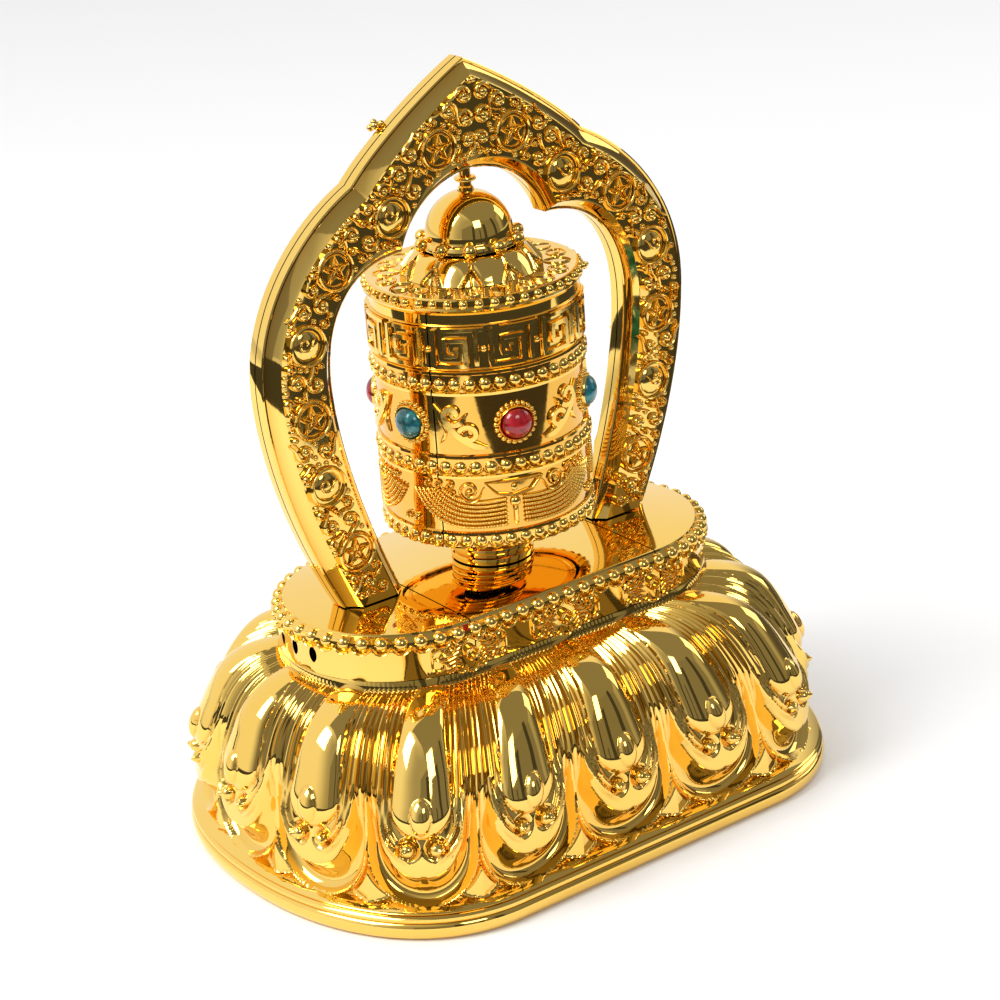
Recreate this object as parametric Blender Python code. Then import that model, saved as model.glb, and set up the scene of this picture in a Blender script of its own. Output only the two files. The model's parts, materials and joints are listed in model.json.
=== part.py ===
"""Table-top prayer wheel: a spinning drum under a pointed arch, on a bead-edged pedestal and a lotus base.

Frame: origin at the middle of the foot's underside, +X along the arch, -Y the front, +Z up.
The drum turns about +Z on a steel spindle between a bush in the neck collar and a bush in the crown.
"""
import math

import bmesh
import bpy
from mathutils import Matrix, Vector

MM = 0.001
GAP = 0.3 * MM
RUNNING_GAP = 0.1 * MM

# Ovals are (half length, half width, length of the curved end).
FOOT = (65.0 * MM, 47.0 * MM, 34.0 * MM)
FOOT_POWER = 2.18
FOOT_HEIGHT = 5.2 * MM
TRAY_FLOOR = 2.0 * MM
TRAY_RIM = 4.0 * MM

PEDESTAL_STRAIGHT = 22.7 * MM
PEDESTAL_RADIUS = 24.3 * MM
PEDESTAL_TOP = 51.3 * MM
PEDESTAL_FOOT = 42.3 * MM
PLATE_RADIUS = 22.9 * MM
BEAD_RADIUS = 1.3 * MM
SHELL = 1.6 * MM
VENT_ANGLES = (165.0, 178.0, 191.0)
VENT_HEIGHT = 45.9 * MM

LOTUS_TOP = 42.0 * MM
LOTUS_CREST = 3.0 * MM
PETALS = 16
PETAL_SHIFT = -3.0 * MM
PETAL_DEPTH = 1.4 * MM
ROOF_WIDTH = 8.0 * MM

ARCH_EDGE_Y = 2.1 * MM
ARCH_FACE_Y = 4.4 * MM
ARCH_BORDER = 3.0 * MM
ARCH_WALL = 1.3 * MM
ARCH_CAVITY_Y = 2.3 * MM
ARCH_FOOT_Z = PEDESTAL_TOP + GAP
CROWN_Z = 130.0 * MM
APEX_Z = 151.2 * MM
LEG_X = 30.4 * MM

DRUM_RADIUS = 20.2 * MM
DRUM_BOTTOM = 60.4 * MM
DRUM_TOP = 107.6 * MM
DRUM_WALL = 1.6 * MM
SEAM_ANGLE = 208.0
LID_RADIUS = 21.1 * MM
LID_TOP = 110.4 * MM
STONE_RADIUS = 3.0 * MM
STONE_HEIGHT = 2.3 * MM
STONE_Z = 85.4 * MM
FIRST_STONE_ANGLE = 12.4
DOME_RADIUS = 8.5 * MM
DOME_CENTRE_Z = 117.2 * MM
STAR_POINTS = 10

SPINDLE_RADIUS = 1.5 * MM
PIN_RADIUS = 1.1 * MM
COLLAR_RADIUS = 8.2 * MM
COLLAR_TOP = 59.3 * MM

HATCH_X = -33.0 * MM
HATCH_RADIUS = 14.0 * MM
CUP_RADIUS = 11.0 * MM
CUP_TOP = 24.0 * MM

SCREW_X = 42.0 * MM
SCREW_Y = 27.0 * MM
SCREW_RADIUS = 1.3 * MM
SCREW_HEAD = 2.6 * MM
POST_TOP = 35.0 * MM

GOLD = (0.83, 0.55, 0.10)
STEEL = (0.62, 0.62, 0.64)
BRASS = (0.72, 0.52, 0.20)
PAPER = (0.86, 0.82, 0.70)
CORAL = (0.62, 0.05, 0.06)
TURQUOISE = (0.03, 0.30, 0.38)
BLACK = (0.03, 0.03, 0.03)


def clear_scene():
    for item in list(bpy.data.objects):
        bpy.data.objects.remove(item, do_unlink=True)


def material(name, colour, roughness, metallic):
    made = bpy.data.materials.get(name)
    if made:
        return made
    made = bpy.data.materials.new(name)
    made.use_nodes = True
    shader = made.node_tree.nodes["Principled BSDF"]
    shader.inputs["Base Color"].default_value = (*colour, 1.0)
    shader.inputs["Roughness"].default_value = roughness
    shader.inputs["Metallic"].default_value = metallic
    return made


def gold():
    return material("gold_plating", GOLD, 0.08, 1.0)


def steel():
    return material("steel", STEEL, 0.30, 1.0)


def brass():
    return material("brass", BRASS, 0.25, 1.0)


def finish_object(name, bm, finish, sharp=30.0):
    """Turn a closed bmesh into a named object, faces out, round pieces smooth."""
    bmesh.ops.remove_doubles(bm, verts=bm.verts, dist=1e-6)
    loose = [edge for edge in bm.edges if not edge.link_faces]
    bmesh.ops.delete(bm, geom=loose, context="EDGES")
    bmesh.ops.recalc_face_normals(bm, faces=bm.faces)
    mesh = bpy.data.meshes.new(name)
    bm.to_mesh(mesh)
    bm.free()
    mesh.materials.append(finish)
    mesh.shade_smooth()
    mesh.set_sharp_from_angle(angle=math.radians(sharp))
    item = bpy.data.objects.new(name, mesh)
    bpy.context.scene.collection.objects.link(item)
    return item


def bridge(bm, first, second):
    """Quads between two closed rows of vertices."""
    count = len(first)
    for index in range(count):
        after = (index + 1) % count
        corners = [first[index], first[after], second[after], second[index]]
        bm.faces.new(corners)


def add_loft(bm, sections, ring):
    """Skin closed sections. A ring joins the last to the first; otherwise both ends are capped."""
    rows = [[bm.verts.new(point) for point in section] for section in sections]
    for row, after in zip(rows, rows[1:]):
        bridge(bm, row, after)
    if ring:
        bridge(bm, rows[-1], rows[0])
    else:
        bm.faces.new(rows[0])
        bm.faces.new(rows[-1])


def add_turned(bm, profile, segments, centre=(0.0, 0.0), start=0.0, sweep=360.0):
    """Turn a closed (radius, height) outline about a vertical axis, all round or part of the way."""
    full = sweep >= 360.0
    steps = segments if full else segments + 1
    sections = []
    for step in range(steps):
        angle = math.radians(start + sweep * step / segments)
        across = Vector((math.cos(angle), math.sin(angle), 0.0))
        middle = Vector((centre[0], centre[1], 0.0))
        sections.append([middle + across * radius + Vector((0, 0, height)) for radius, height in profile])
    add_loft(bm, sections, full)


def turned(name, profile, segments, finish, **options):
    bm = bmesh.new()
    add_turned(bm, profile, segments, **options)
    return finish_object(name, bm, finish)


def solid_profile(outline):
    """Close an open (radius, height) outline on the axis; its points there merge into one."""
    return [(0.0, outline[0][1])] + outline + [(0.0, outline[-1][1])]


def cylinder_mesh(bm, radius, low, high, centre, segments=16):
    ring = []
    for step in range(segments):
        angle = 2.0 * math.pi * step / segments
        ring.append((centre[0] + radius * math.cos(angle), centre[1] + radius * math.sin(angle)))
    add_loft(bm, [[Vector((x, y, z)) for x, y in ring] for z in (low, high)], False)


def hide_cutter(item):
    item.hide_render = True
    item.display_type = "WIRE"


def cut(item, cutter, operation="DIFFERENCE"):
    """Cut or join with the exact solver."""
    change = item.modifiers.new(cutter.name, "BOOLEAN")
    change.operation = operation
    change.object = cutter
    change.solver = "EXACT"
    hide_cutter(cutter)


def cylinder_cutter(name, radius, low, high, centres, segments=16):
    bm = bmesh.new()
    for centre in centres:
        cylinder_mesh(bm, radius, low, high, centre, segments)
    return finish_object(name, bm, gold())


# Ovals -------------------------------------------------------------------------------------------

def quarter_point(shape, power, share, along):
    """A point on a quarter of an oval: 0 at the front middle, 1 at the end of the long axis."""
    half_length, half_width, end = shape
    straight = half_length - end
    if along <= share:
        return straight * along / share, -half_width
    angle = (along - share) / (1.0 - share) * math.pi / 2.0
    x = straight + end * max(math.sin(angle), 0.0) ** (2.0 / power)
    y = -half_width * max(math.cos(angle), 0.0) ** (2.0 / power)
    return x, y


def oval(shape, power, count, share=1.0 / 3.0):
    """Points round an oval, anticlockwise from the front middle."""
    points = []
    for index in range(count):
        turn = 4.0 * index / count
        quarter = int(turn)
        along = turn - quarter
        if quarter in (1, 3):
            along = 1.0 - along
        x, y = quarter_point(shape, power, share, along)
        side = 1.0 if quarter in (0, 1) else -1.0
        depth = 1.0 if quarter in (0, 3) else -1.0
        points.append((side * x, depth * y))
    return points


def inset(shape, distance):
    return tuple(value - distance for value in shape)


def oval_row(shape, power, count, height):
    return [Vector((x, y, height)) for x, y in oval(shape, power, count)]


# Foot, lotus base and pedestal -------------------------------------------------------------------

def foot_tray():
    """Shallow tray whose rounded rim is the foot's outer band."""
    count = 56
    sections = [
        oval_row(inset(FOOT, 1.4 * MM), FOOT_POWER, count, 0.0),
        oval_row(inset(FOOT, 0.3 * MM), FOOT_POWER, count, 1.0 * MM),
        oval_row(FOOT, FOOT_POWER, count, 2.6 * MM),
        oval_row(inset(FOOT, 0.3 * MM), FOOT_POWER, count, 4.2 * MM),
        oval_row(inset(FOOT, 1.2 * MM), FOOT_POWER, count, FOOT_HEIGHT),
        oval_row(inset(FOOT, TRAY_RIM), FOOT_POWER, count, FOOT_HEIGHT),
        oval_row(inset(FOOT, TRAY_RIM), FOOT_POWER, count, TRAY_FLOOR),
    ]
    bm = bmesh.new()
    add_loft(bm, sections, False)
    tray = finish_object("foot_tray", bm, gold())
    hole = cylinder_cutter("hatch_hole", HATCH_RADIUS + GAP, -MM, 4 * MM, [(HATCH_X, 0.0)], 32)
    cut(tray, hole)
    cut(tray, cylinder_cutter("tray_screw_holes", SCREW_RADIUS + GAP, -MM, 4 * MM, screw_places()))
    cut(tray, cylinder_cutter("tray_head_sinks", SCREW_HEAD + GAP, -MM, 1.2 * MM, screw_places()))
    return tray


def screw_places():
    return [(x, y) for x in (-SCREW_X, SCREW_X) for y in (-SCREW_Y, SCREW_Y)]


def blend_ovals(share):
    """Oval part of the way from the pedestal (0) to the foot (1)."""
    neck = (PEDESTAL_STRAIGHT + PEDESTAL_RADIUS, PEDESTAL_RADIUS, PEDESTAL_RADIUS)
    rim = inset(FOOT, 1.0 * MM)
    return tuple(a + (b - a) * share for a, b in zip(neck, rim))


def lotus_row(share, height, count, depth, thickness):
    """One level of the petal skirt: the oval, pressed in between the petals."""
    points = []
    shape = inset(blend_ovals(share), thickness)
    power = 2.0 + (FOOT_POWER - 2.0) * share
    perimeter_shift = PETAL_SHIFT / (24.0 * MM)
    for index, (x, y) in enumerate(oval(shape, power, count)):
        phase = PETALS * index / count - perimeter_shift
        valley = math.sin(math.pi * phase) ** 2
        length = math.hypot(x, y)
        pull = 1.0 - depth * valley ** 2 / length
        points.append(Vector((x * pull, y * pull, height)))
    return points


def lotus_base():
    """Domed skirt of petals: a hollow shell with a roof ring under the pedestal."""
    count = 64
    levels = 6
    low = FOOT_HEIGHT + GAP
    sections = []
    for level in range(levels + 1):
        angle = math.pi / 2.0 * (1.0 - level / levels)
        share = math.sin(angle)
        height = LOTUS_CREST + (LOTUS_TOP - LOTUS_CREST) * math.cos(angle)
        depth = PETAL_DEPTH * math.sin(math.pi * min(1.0, 0.15 + share * 0.75))
        sections.append(lotus_row(share, max(height, low + MM), count, depth, 0.0))
    sections.insert(0, lotus_row(1.0, low, count, 0.0, 0.0))
    sections.append(lotus_row(0.0, LOTUS_TOP, count, 0.0, ROOF_WIDTH))
    sections.append(lotus_row(0.0, LOTUS_TOP - SHELL, count, 0.0, ROOF_WIDTH))
    sections.append(lotus_row(0.0, LOTUS_TOP - SHELL, count, 0.0, 0.6 * MM))
    for level in range(1, 4):
        angle = math.pi / 2.0 * level / 4
        share = math.sin(angle)
        height = LOTUS_CREST + (LOTUS_TOP - LOTUS_CREST - SHELL) * math.cos(angle)
        sections.append(lotus_row(share, height, count, 0.0, 3.2 * MM))
    sections.append(lotus_row(1.0, low, count, 0.0, 3.4 * MM))
    bm = bmesh.new()
    add_loft(bm, sections, True)
    base = finish_object("lotus_base", bm, gold())
    posts = cylinder_cutter("lotus_posts", 2.8 * MM, TRAY_FLOOR + GAP, POST_TOP, screw_places())
    cut(base, posts, "UNION")
    pilots = cylinder_cutter("post_pilots", SCREW_RADIUS + GAP, 0.0, 12 * MM, screw_places(), 12)
    cut(base, pilots)
    return base


def pedestal_profile():
    """Half section of the pedestal: plate, bead moulding and wall, as (distance out, height)."""
    top = PEDESTAL_TOP
    outer = PEDESTAL_RADIUS
    moulding = top - BEAD_RADIUS
    profile = [(0.0, top), (PLATE_RADIUS, top)]
    for step in range(5):
        angle = math.radians(60.0 - 40.0 * step)
        bulge = outer + BEAD_RADIUS * math.cos(angle)
        profile.append((bulge, moulding - 0.2 * MM + BEAD_RADIUS * math.sin(angle)))
    profile += [(outer, PEDESTAL_FOOT), (outer - SHELL, PEDESTAL_FOOT)]
    profile += [(outer - SHELL, top - SHELL), (0.0, top - SHELL)]
    return profile


def pedestal_middle():
    half = pedestal_profile()[1:-1]
    outline = [(-out, height) for out, height in half] + [(out, height) for out, height in reversed(half)]
    reach = PEDESTAL_STRAIGHT - GAP / 2.0
    bm = bmesh.new()
    add_loft(bm, [[Vector((x, y, z)) for y, z in outline] for x in (-reach, reach)], False)
    middle = finish_object("pedestal_middle", bm, gold())
    cut(middle, cylinder_cutter("bush_hole", 3.3 * MM, 45 * MM, 55 * MM, [(0.0, 0.0)], 24))
    return middle


def pedestal_end(name, side):
    start = -90.0 if side > 0 else 90.0
    reach = PEDESTAL_STRAIGHT + GAP / 2.0
    bm = bmesh.new()
    add_turned(bm, pedestal_profile(), 18, centre=(side * reach, 0.0), start=start, sweep=180.0)
    end = finish_object(name, bm, gold())
    hole_x = side * LEG_X
    hole_name = name + "_screw_hole"
    cut(end, cylinder_cutter(hole_name, SCREW_RADIUS + GAP, 45 * MM, 55 * MM, [(hole_x, 0.0)], 13))
    return end


def cut_vents(end):
    """Three upright lens-shaped vents in the left end wall."""
    bm = bmesh.new()
    for degrees in VENT_ANGLES:
        angle = math.radians(degrees)
        across = Vector((math.cos(angle), math.sin(angle), 0.0))
        along = Vector((-across.y, across.x, 0.0))
        middle = Vector((-PEDESTAL_STRAIGHT, 0.0, VENT_HEIGHT))
        sections = []
        for out in (PEDESTAL_RADIUS - 4 * MM, PEDESTAL_RADIUS + 3 * MM):
            ring = []
            for step in range(10):
                turn = 2.0 * math.pi * step / 10
                offset = along * 1.0 * MM * math.cos(turn) + Vector((0, 0, 1.7 * MM * math.sin(turn)))
                ring.append(middle + across * out + offset)
            sections.append(ring)
        add_loft(bm, sections, False)
    cut(end, finish_object("vent_cutter", bm, gold()))


# Arch --------------------------------------------------------------------------------------------

# Right half of the arch as (x, z) Bezier stretches in millimetres: leg, shoulder and crown.
ARCH_OUTER = (
    ((37.2, 51.6), (44.5, 65.8), (50.2, 83.0), (50.2, 98.0)),
    ((50.2, 98.0), (50.2, 114.0), (38.7, 126.7), (27.0, 132.4)),
    ((27.0, 132.4), (21.0, 139.0), (8.1, 147.2), (0.0, 151.2)),
)
ARCH_INNER = (
    ((23.6, 51.6), (29.7, 66.3), (35.0, 84.0), (35.0, 97.0)),
    ((35.0, 97.0), (35.0, 110.5), (27.5, 118.0), (17.0, 117.7)),
    ((17.0, 117.7), (14.8, 124.5), (8.0, 130.0), (0.0, 130.0)),
)
ARCH_STEPS = (9, 7, 6)


def bezier(controls, share):
    rest = 1.0 - share
    weights = (rest ** 3, 3 * rest * rest * share, 3 * rest * share * share, share ** 3)
    x = sum(weight * point[0] for weight, point in zip(weights, controls))
    z = sum(weight * point[1] for weight, point in zip(weights, controls))
    return Vector((x * MM, 0.0, z * MM))


def arch_stations():
    """Pairs of outer and inner edge points from the left foot, over the crown, to the right foot."""
    right = []
    for outer, inner, steps in zip(ARCH_OUTER, ARCH_INNER, ARCH_STEPS):
        for step in range(steps):
            right.append((bezier(outer, step / steps), bezier(inner, step / steps)))
    apex = (Vector((0.0, 0.0, APEX_Z)), Vector((0.0, 0.0, CROWN_Z)))
    left = [tuple(Vector((-point.x, 0.0, point.z)) for point in pair) for pair in right]
    return left + [apex] + right[::-1]


def arch_section(outer, inner, side):
    """Channel section across the band: bevelled borders, flat face, open at the seam."""
    across = inner - outer
    width = across.length
    across.normalize()
    seam = side * GAP / 2.0
    edge = side * ARCH_EDGE_Y
    face = side * ARCH_FACE_Y
    cavity = side * ARCH_CAVITY_Y
    outline = [
        (0.0, seam), (0.0, edge), (ARCH_BORDER, face), (width - ARCH_BORDER, face),
        (width, edge), (width, seam), (width - ARCH_WALL, seam), (width - ARCH_WALL, cavity),
        (ARCH_WALL, cavity), (ARCH_WALL, seam),
    ]
    return [outer + across * distance + Vector((0.0, y, 0.0)) for distance, y in outline]


def arch_shell(name, side):
    bm = bmesh.new()
    add_loft(bm, [arch_section(outer, inner, side) for outer, inner in arch_stations()], False)
    shell = finish_object(name, bm, gold())
    pin_hole = cylinder_cutter(name + "_pin_hole", 2.2 * MM, 125 * MM, 134 * MM, [(0.0, 0.0)])
    cut(shell, pin_hole)
    return shell


def leg_block(name, side):
    """Block inside the leg's foot that takes the screw from below."""
    low = ARCH_FOOT_Z
    half_depth = ARCH_CAVITY_Y - GAP
    bm = bmesh.new()
    sections = []
    for height, shift in ((low, 0.0), (low + 6 * MM, 2.9 * MM)):
        corners = [(-4.6, -1), (4.6, -1), (4.6, 1), (-4.6, 1)]
        middle = LEG_X + shift
        sections.append([Vector((side * (middle + x * MM), y * half_depth, height)) for x, y in corners])
    add_loft(bm, sections, False)
    block = finish_object(name, bm, material("black_plastic", BLACK, 0.5, 0.0))
    pilot = cylinder_cutter(name + "_pilot", SCREW_RADIUS + GAP, 50 * MM, low + 4 * MM,
                            [(side * LEG_X, 0.0)], 12)
    cut(block, pilot)
    return block


# Screws ------------------------------------------------------------------------------------------

def screw(name, centre, head_low, tip):
    """Round-headed screw pointing up, its head at the bottom."""
    head_high = head_low + 0.8 * MM
    outline = [(SCREW_HEAD, head_low), (SCREW_HEAD, head_high), (SCREW_RADIUS, head_high)]
    outline += [(SCREW_RADIUS, tip - MM), (0.4 * MM, tip)]
    return turned(name, solid_profile(outline), 10, steel(), centre=centre)


def screws():
    """Four screws hold the tray to the lotus base; one in each leg holds the arch."""
    for number, place in enumerate(screw_places(), 1):
        screw("base_screw_%d" % number, place, 0.3 * MM, 11.0 * MM)
    head_low = PEDESTAL_TOP - SHELL - 1.2 * MM
    screw("arch_screw_left", (-LEG_X, 0.0), head_low, ARCH_FOOT_Z + 3.5 * MM)
    screw("arch_screw_right", (LEG_X, 0.0), head_low, ARCH_FOOT_Z + 3.5 * MM)


# Drum --------------------------------------------------------------------------------------------

def drum_profile():
    """Wall section: outer face with its bead ridges from the top down, then the plain inner face."""
    ridge = 0.7 * MM
    profile = [(DRUM_RADIUS, DRUM_TOP)]
    for centre, half in ((93.8, 1.7), (77.2, 1.7), (62.1, 1.3)):
        for lift, out in ((1.0, 0.0), (0.6, 1.0), (-0.6, 1.0), (-1.0, 0.0)):
            profile.append((DRUM_RADIUS + ridge * out, (centre + half * lift) * MM))
    profile += [(DRUM_RADIUS, DRUM_BOTTOM), (DRUM_RADIUS - DRUM_WALL, DRUM_BOTTOM)]
    profile += [(DRUM_RADIUS - DRUM_WALL, DRUM_TOP)]
    return profile


def drum_shell(name, start):
    seam = math.degrees(GAP / 2.0 / DRUM_RADIUS)
    return turned(name, drum_profile(), 14, gold(), start=start + seam, sweep=180.0 - 2 * seam)


def drum_lid():
    bore = SPINDLE_RADIUS + RUNNING_GAP
    lip = DRUM_RADIUS - DRUM_WALL - GAP
    low = DRUM_TOP + GAP
    profile = [
        (bore, LID_TOP), (LID_RADIUS - 0.5 * MM, LID_TOP), (LID_RADIUS, LID_TOP - 0.5 * MM),
        (LID_RADIUS, low + 0.5 * MM), (LID_RADIUS - 0.5 * MM, low), (lip, low), (lip, low - 2 * MM),
        (lip - SHELL, low - 2 * MM), (lip - SHELL, low + 0.7 * MM), (bore, low + 0.7 * MM),
    ]
    return turned("drum_lid", profile, 32, gold())


def drum_floor():
    bore = SPINDLE_RADIUS + RUNNING_GAP
    edge = DRUM_RADIUS - DRUM_WALL - GAP
    low = 61.5 * MM
    profile = [(bore, low), (edge, low), (edge, low + SHELL), (3.5 * MM, low + SHELL)]
    profile += [(3.5 * MM, low + 4 * MM), (bore, low + 4 * MM)]
    return turned("drum_floor", profile, 24, gold())


def star_collar():
    """Star-edged dish between the lid and the dome."""
    low = LID_TOP + GAP
    high = low + 4.2 * MM
    count = STAR_POINTS * 2
    levels = [(13.6, 10.9, low), (14.0, 11.3, low + 0.6 * MM), (10.0, 9.6, high), (6.0, 6.0, high),
              (6.0, 6.0, high - 1.2 * MM), (9.0, 8.6, high - 1.2 * MM), (11.2, 9.4, low)]
    sections = []
    for tip, notch, height in levels:
        ring = []
        for index in range(count):
            angle = math.pi * 2.0 * index / count
            radius = (tip if index % 2 == 0 else notch) * MM
            ring.append(Vector((radius * math.cos(angle), radius * math.sin(angle), height)))
        sections.append(ring)
    bm = bmesh.new()
    add_loft(bm, sections, True)
    return finish_object("star_collar", bm, gold())


def drum_dome():
    """Hollow ball cap on a bead-edged ring."""
    low = LID_TOP + 4.8 * MM
    bore = SPINDLE_RADIUS + RUNNING_GAP
    inner = DOME_RADIUS - 1.4 * MM
    profile = [(9.6 * MM, low), (9.9 * MM, low + 0.8 * MM), (9.6 * MM, low + 1.6 * MM)]
    steps = 5
    first = math.asin((low + 1.9 * MM - DOME_CENTRE_Z) / DOME_RADIUS)
    last = math.acos(bore / DOME_RADIUS)
    for step in range(steps + 1):
        angle = first + (last - first) * step / steps
        profile.append((DOME_RADIUS * math.cos(angle), DOME_CENTRE_Z + DOME_RADIUS * math.sin(angle)))
    last = math.acos(bore / inner)
    for step in range(4):
        angle = last * (1.0 - step / 3.0)
        profile.append((inner * math.cos(angle), DOME_CENTRE_Z + inner * math.sin(angle)))
    profile.append((inner, low))
    return turned("drum_dome", profile, 20, gold())


def spindle():
    """Steel axle with a flange under the crown and a thinner pin above it."""
    outline = [
        (SPINDLE_RADIUS, 44.0 * MM), (SPINDLE_RADIUS, 126.3 * MM), (PIN_RADIUS, 126.3 * MM),
        (PIN_RADIUS, 127.3 * MM), (2.1 * MM, 127.5 * MM), (2.1 * MM, 128.2 * MM),
        (PIN_RADIUS, 128.4 * MM), (PIN_RADIUS, 134.0 * MM),
    ]
    return turned("spindle", solid_profile(outline), 16, steel())


def retaining_clip():
    bm = bmesh.new()
    profile = [(SPINDLE_RADIUS + RUNNING_GAP, 47.2 * MM), (3.2 * MM, 47.2 * MM),
               (3.2 * MM, 48.0 * MM), (SPINDLE_RADIUS + RUNNING_GAP, 48.0 * MM)]
    add_turned(bm, profile, 18, start=30.0, sweep=300.0)
    return finish_object("retaining_clip", bm, steel())


def mantra_roll():
    """Tightly rolled paper scroll round the spindle."""
    profile = [(4.2 * MM, 66.5 * MM), (15.5 * MM, 66.5 * MM), (15.5 * MM, 104.0 * MM), (4.2 * MM, 104.0 * MM)]
    return turned("mantra_roll", profile, 18, material("paper", PAPER, 0.9, 0.0))


def stone(name, degrees, finish):
    """Rounded stone with a flat back on the drum's middle band."""
    back = DRUM_RADIUS + 0.35 * MM
    bm = bmesh.new()
    sections = []
    for share in (0.0, 0.4, 0.75, 0.95):
        radius = STONE_RADIUS * math.sqrt(1.0 - share * share)
        ring = []
        for step in range(12):
            turn = 2.0 * math.pi * step / 12
            ring.append(Vector((back + STONE_HEIGHT * share, radius * math.cos(turn),
                                STONE_Z + radius * math.sin(turn))))
        sections.append(ring)
    add_loft(bm, sections, False)
    bmesh.ops.rotate(bm, verts=bm.verts, cent=(0, 0, 0), matrix=Matrix.Rotation(math.radians(degrees), 3, "Z"))
    return finish_object(name, bm, finish)


def stones():
    """Three coral and three turquoise stones, alternating."""
    coral = material("coral", CORAL, 0.35, 0.0)
    turquoise = material("turquoise", TURQUOISE, 0.35, 0.0)
    made = []
    for index in range(3):
        angle = FIRST_STONE_ANGLE + 120.0 * index
        made.append(stone("coral_stone_%d" % (index + 1), angle, coral))
        made.append(stone("turquoise_stone_%d" % (index + 1), angle + 60.0, turquoise))
    return made


# Bearings ----------------------------------------------------------------------------------------

def neck_collar():
    """Ribbed tube that hides the lower bush."""
    bore = 3.3 * MM
    low = PEDESTAL_TOP + GAP
    profile = [(bore, low), (COLLAR_RADIUS, low)]
    ribs = 4
    pitch = (COLLAR_TOP - low) / ribs
    for rib in range(ribs):
        base = low + pitch * rib
        profile += [(COLLAR_RADIUS, base + 0.65 * pitch), (COLLAR_RADIUS - 0.6 * MM, base + 0.75 * pitch)]
        profile += [(COLLAR_RADIUS - 0.6 * MM, base + 0.95 * pitch)]
        if rib < ribs - 1:
            profile.append((COLLAR_RADIUS, base + pitch))
    profile.append((COLLAR_RADIUS - 0.6 * MM, COLLAR_TOP))
    profile.append((bore, COLLAR_TOP))
    return turned("neck_collar", profile, 24, gold())


def lower_bush():
    bore = SPINDLE_RADIUS + RUNNING_GAP
    low = 49.0 * MM
    flange = COLLAR_TOP + GAP
    profile = [(bore, low), (3.0 * MM, low), (3.0 * MM, flange), (5.0 * MM, flange)]
    profile += [(5.0 * MM, flange + 0.7 * MM), (bore, flange + 0.7 * MM)]
    return turned("lower_bush", profile, 18, brass())


def thrust_washer():
    bore = SPINDLE_RADIUS + RUNNING_GAP
    low = COLLAR_TOP + GAP + 0.8 * MM
    high = low + 0.5 * MM
    profile = [(bore, low), (4.2 * MM, low), (4.2 * MM, high), (bore, high)]
    return turned("thrust_washer", profile, 18, steel())


def top_bush():
    bore = PIN_RADIUS + RUNNING_GAP
    low = CROWN_Z + 0.2 * MM
    profile = [(bore, low), (1.9 * MM, low), (1.9 * MM, low + 4.4 * MM), (bore, low + 4.4 * MM)]
    return turned("top_bush", profile, 18, brass())


# Scent holder ------------------------------------------------------------------------------------

def scent_hatch():
    """Round twist-out hatch in the underside, with a coin slot."""
    outline = [(HATCH_RADIUS, 0.3 * MM), (HATCH_RADIUS, TRAY_FLOOR)]
    hatch = turned("scent_hatch", solid_profile(outline), 32, material("black_plastic", BLACK, 0.5, 0.0),
                   centre=(HATCH_X, 0.0))
    bm = bmesh.new()
    corners = [(-6.0, -0.8), (6.0, -0.8), (6.0, 0.8), (-6.0, 0.8)]
    sections = [[Vector((HATCH_X + x * MM, y * MM, z)) for x, y in corners] for z in (-MM, 1.2 * MM)]
    add_loft(bm, sections, False)
    cut(hatch, finish_object("coin_slot", bm, gold()))
    return hatch


def scent_cup():
    low = TRAY_FLOOR + GAP
    outline = [(CUP_RADIUS - MM, low), (CUP_RADIUS, CUP_TOP), (CUP_RADIUS - 1.2 * MM, CUP_TOP),
               (CUP_RADIUS - 2.2 * MM, low + 1.4 * MM)]
    return turned("scent_cup", solid_profile(outline), 24, material("clear_plastic", (0.8, 0.8, 0.8), 0.2, 0.0),
                  centre=(HATCH_X, 0.0))


def scent_pad():
    low = TRAY_FLOOR + GAP + 1.8 * MM
    radius = CUP_RADIUS - 3.0 * MM
    outline = [(radius, low), (radius, low + 8 * MM)]
    return turned("scent_pad", solid_profile(outline), 20, material("felt", (0.75, 0.70, 0.62), 0.95, 0.0),
                  centre=(HATCH_X, 0.0))


def build():
    clear_scene()
    foot_tray()
    lotus_base()
    pedestal_middle()
    left_end = pedestal_end("pedestal_end_left", -1)
    cut_vents(left_end)
    pedestal_end("pedestal_end_right", 1)
    arch_shell("arch_front", -1)
    arch_shell("arch_rear", 1)
    leg_block("leg_block_left", -1)
    leg_block("leg_block_right", 1)
    screws()
    neck_collar()
    lower_bush()
    thrust_washer()
    top_bush()
    drum_shell("drum_shell_front", SEAM_ANGLE)
    drum_shell("drum_shell_rear", SEAM_ANGLE + 180.0)
    drum_lid()
    drum_floor()
    star_collar()
    drum_dome()
    spindle()
    retaining_clip()
    mantra_roll()
    stones()
    scent_hatch()
    scent_cup()
    scent_pad()


build()
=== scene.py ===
import json
import math
import random

import bmesh
import bpy
import numpy as np
from mathutils import Matrix, Vector

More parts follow.
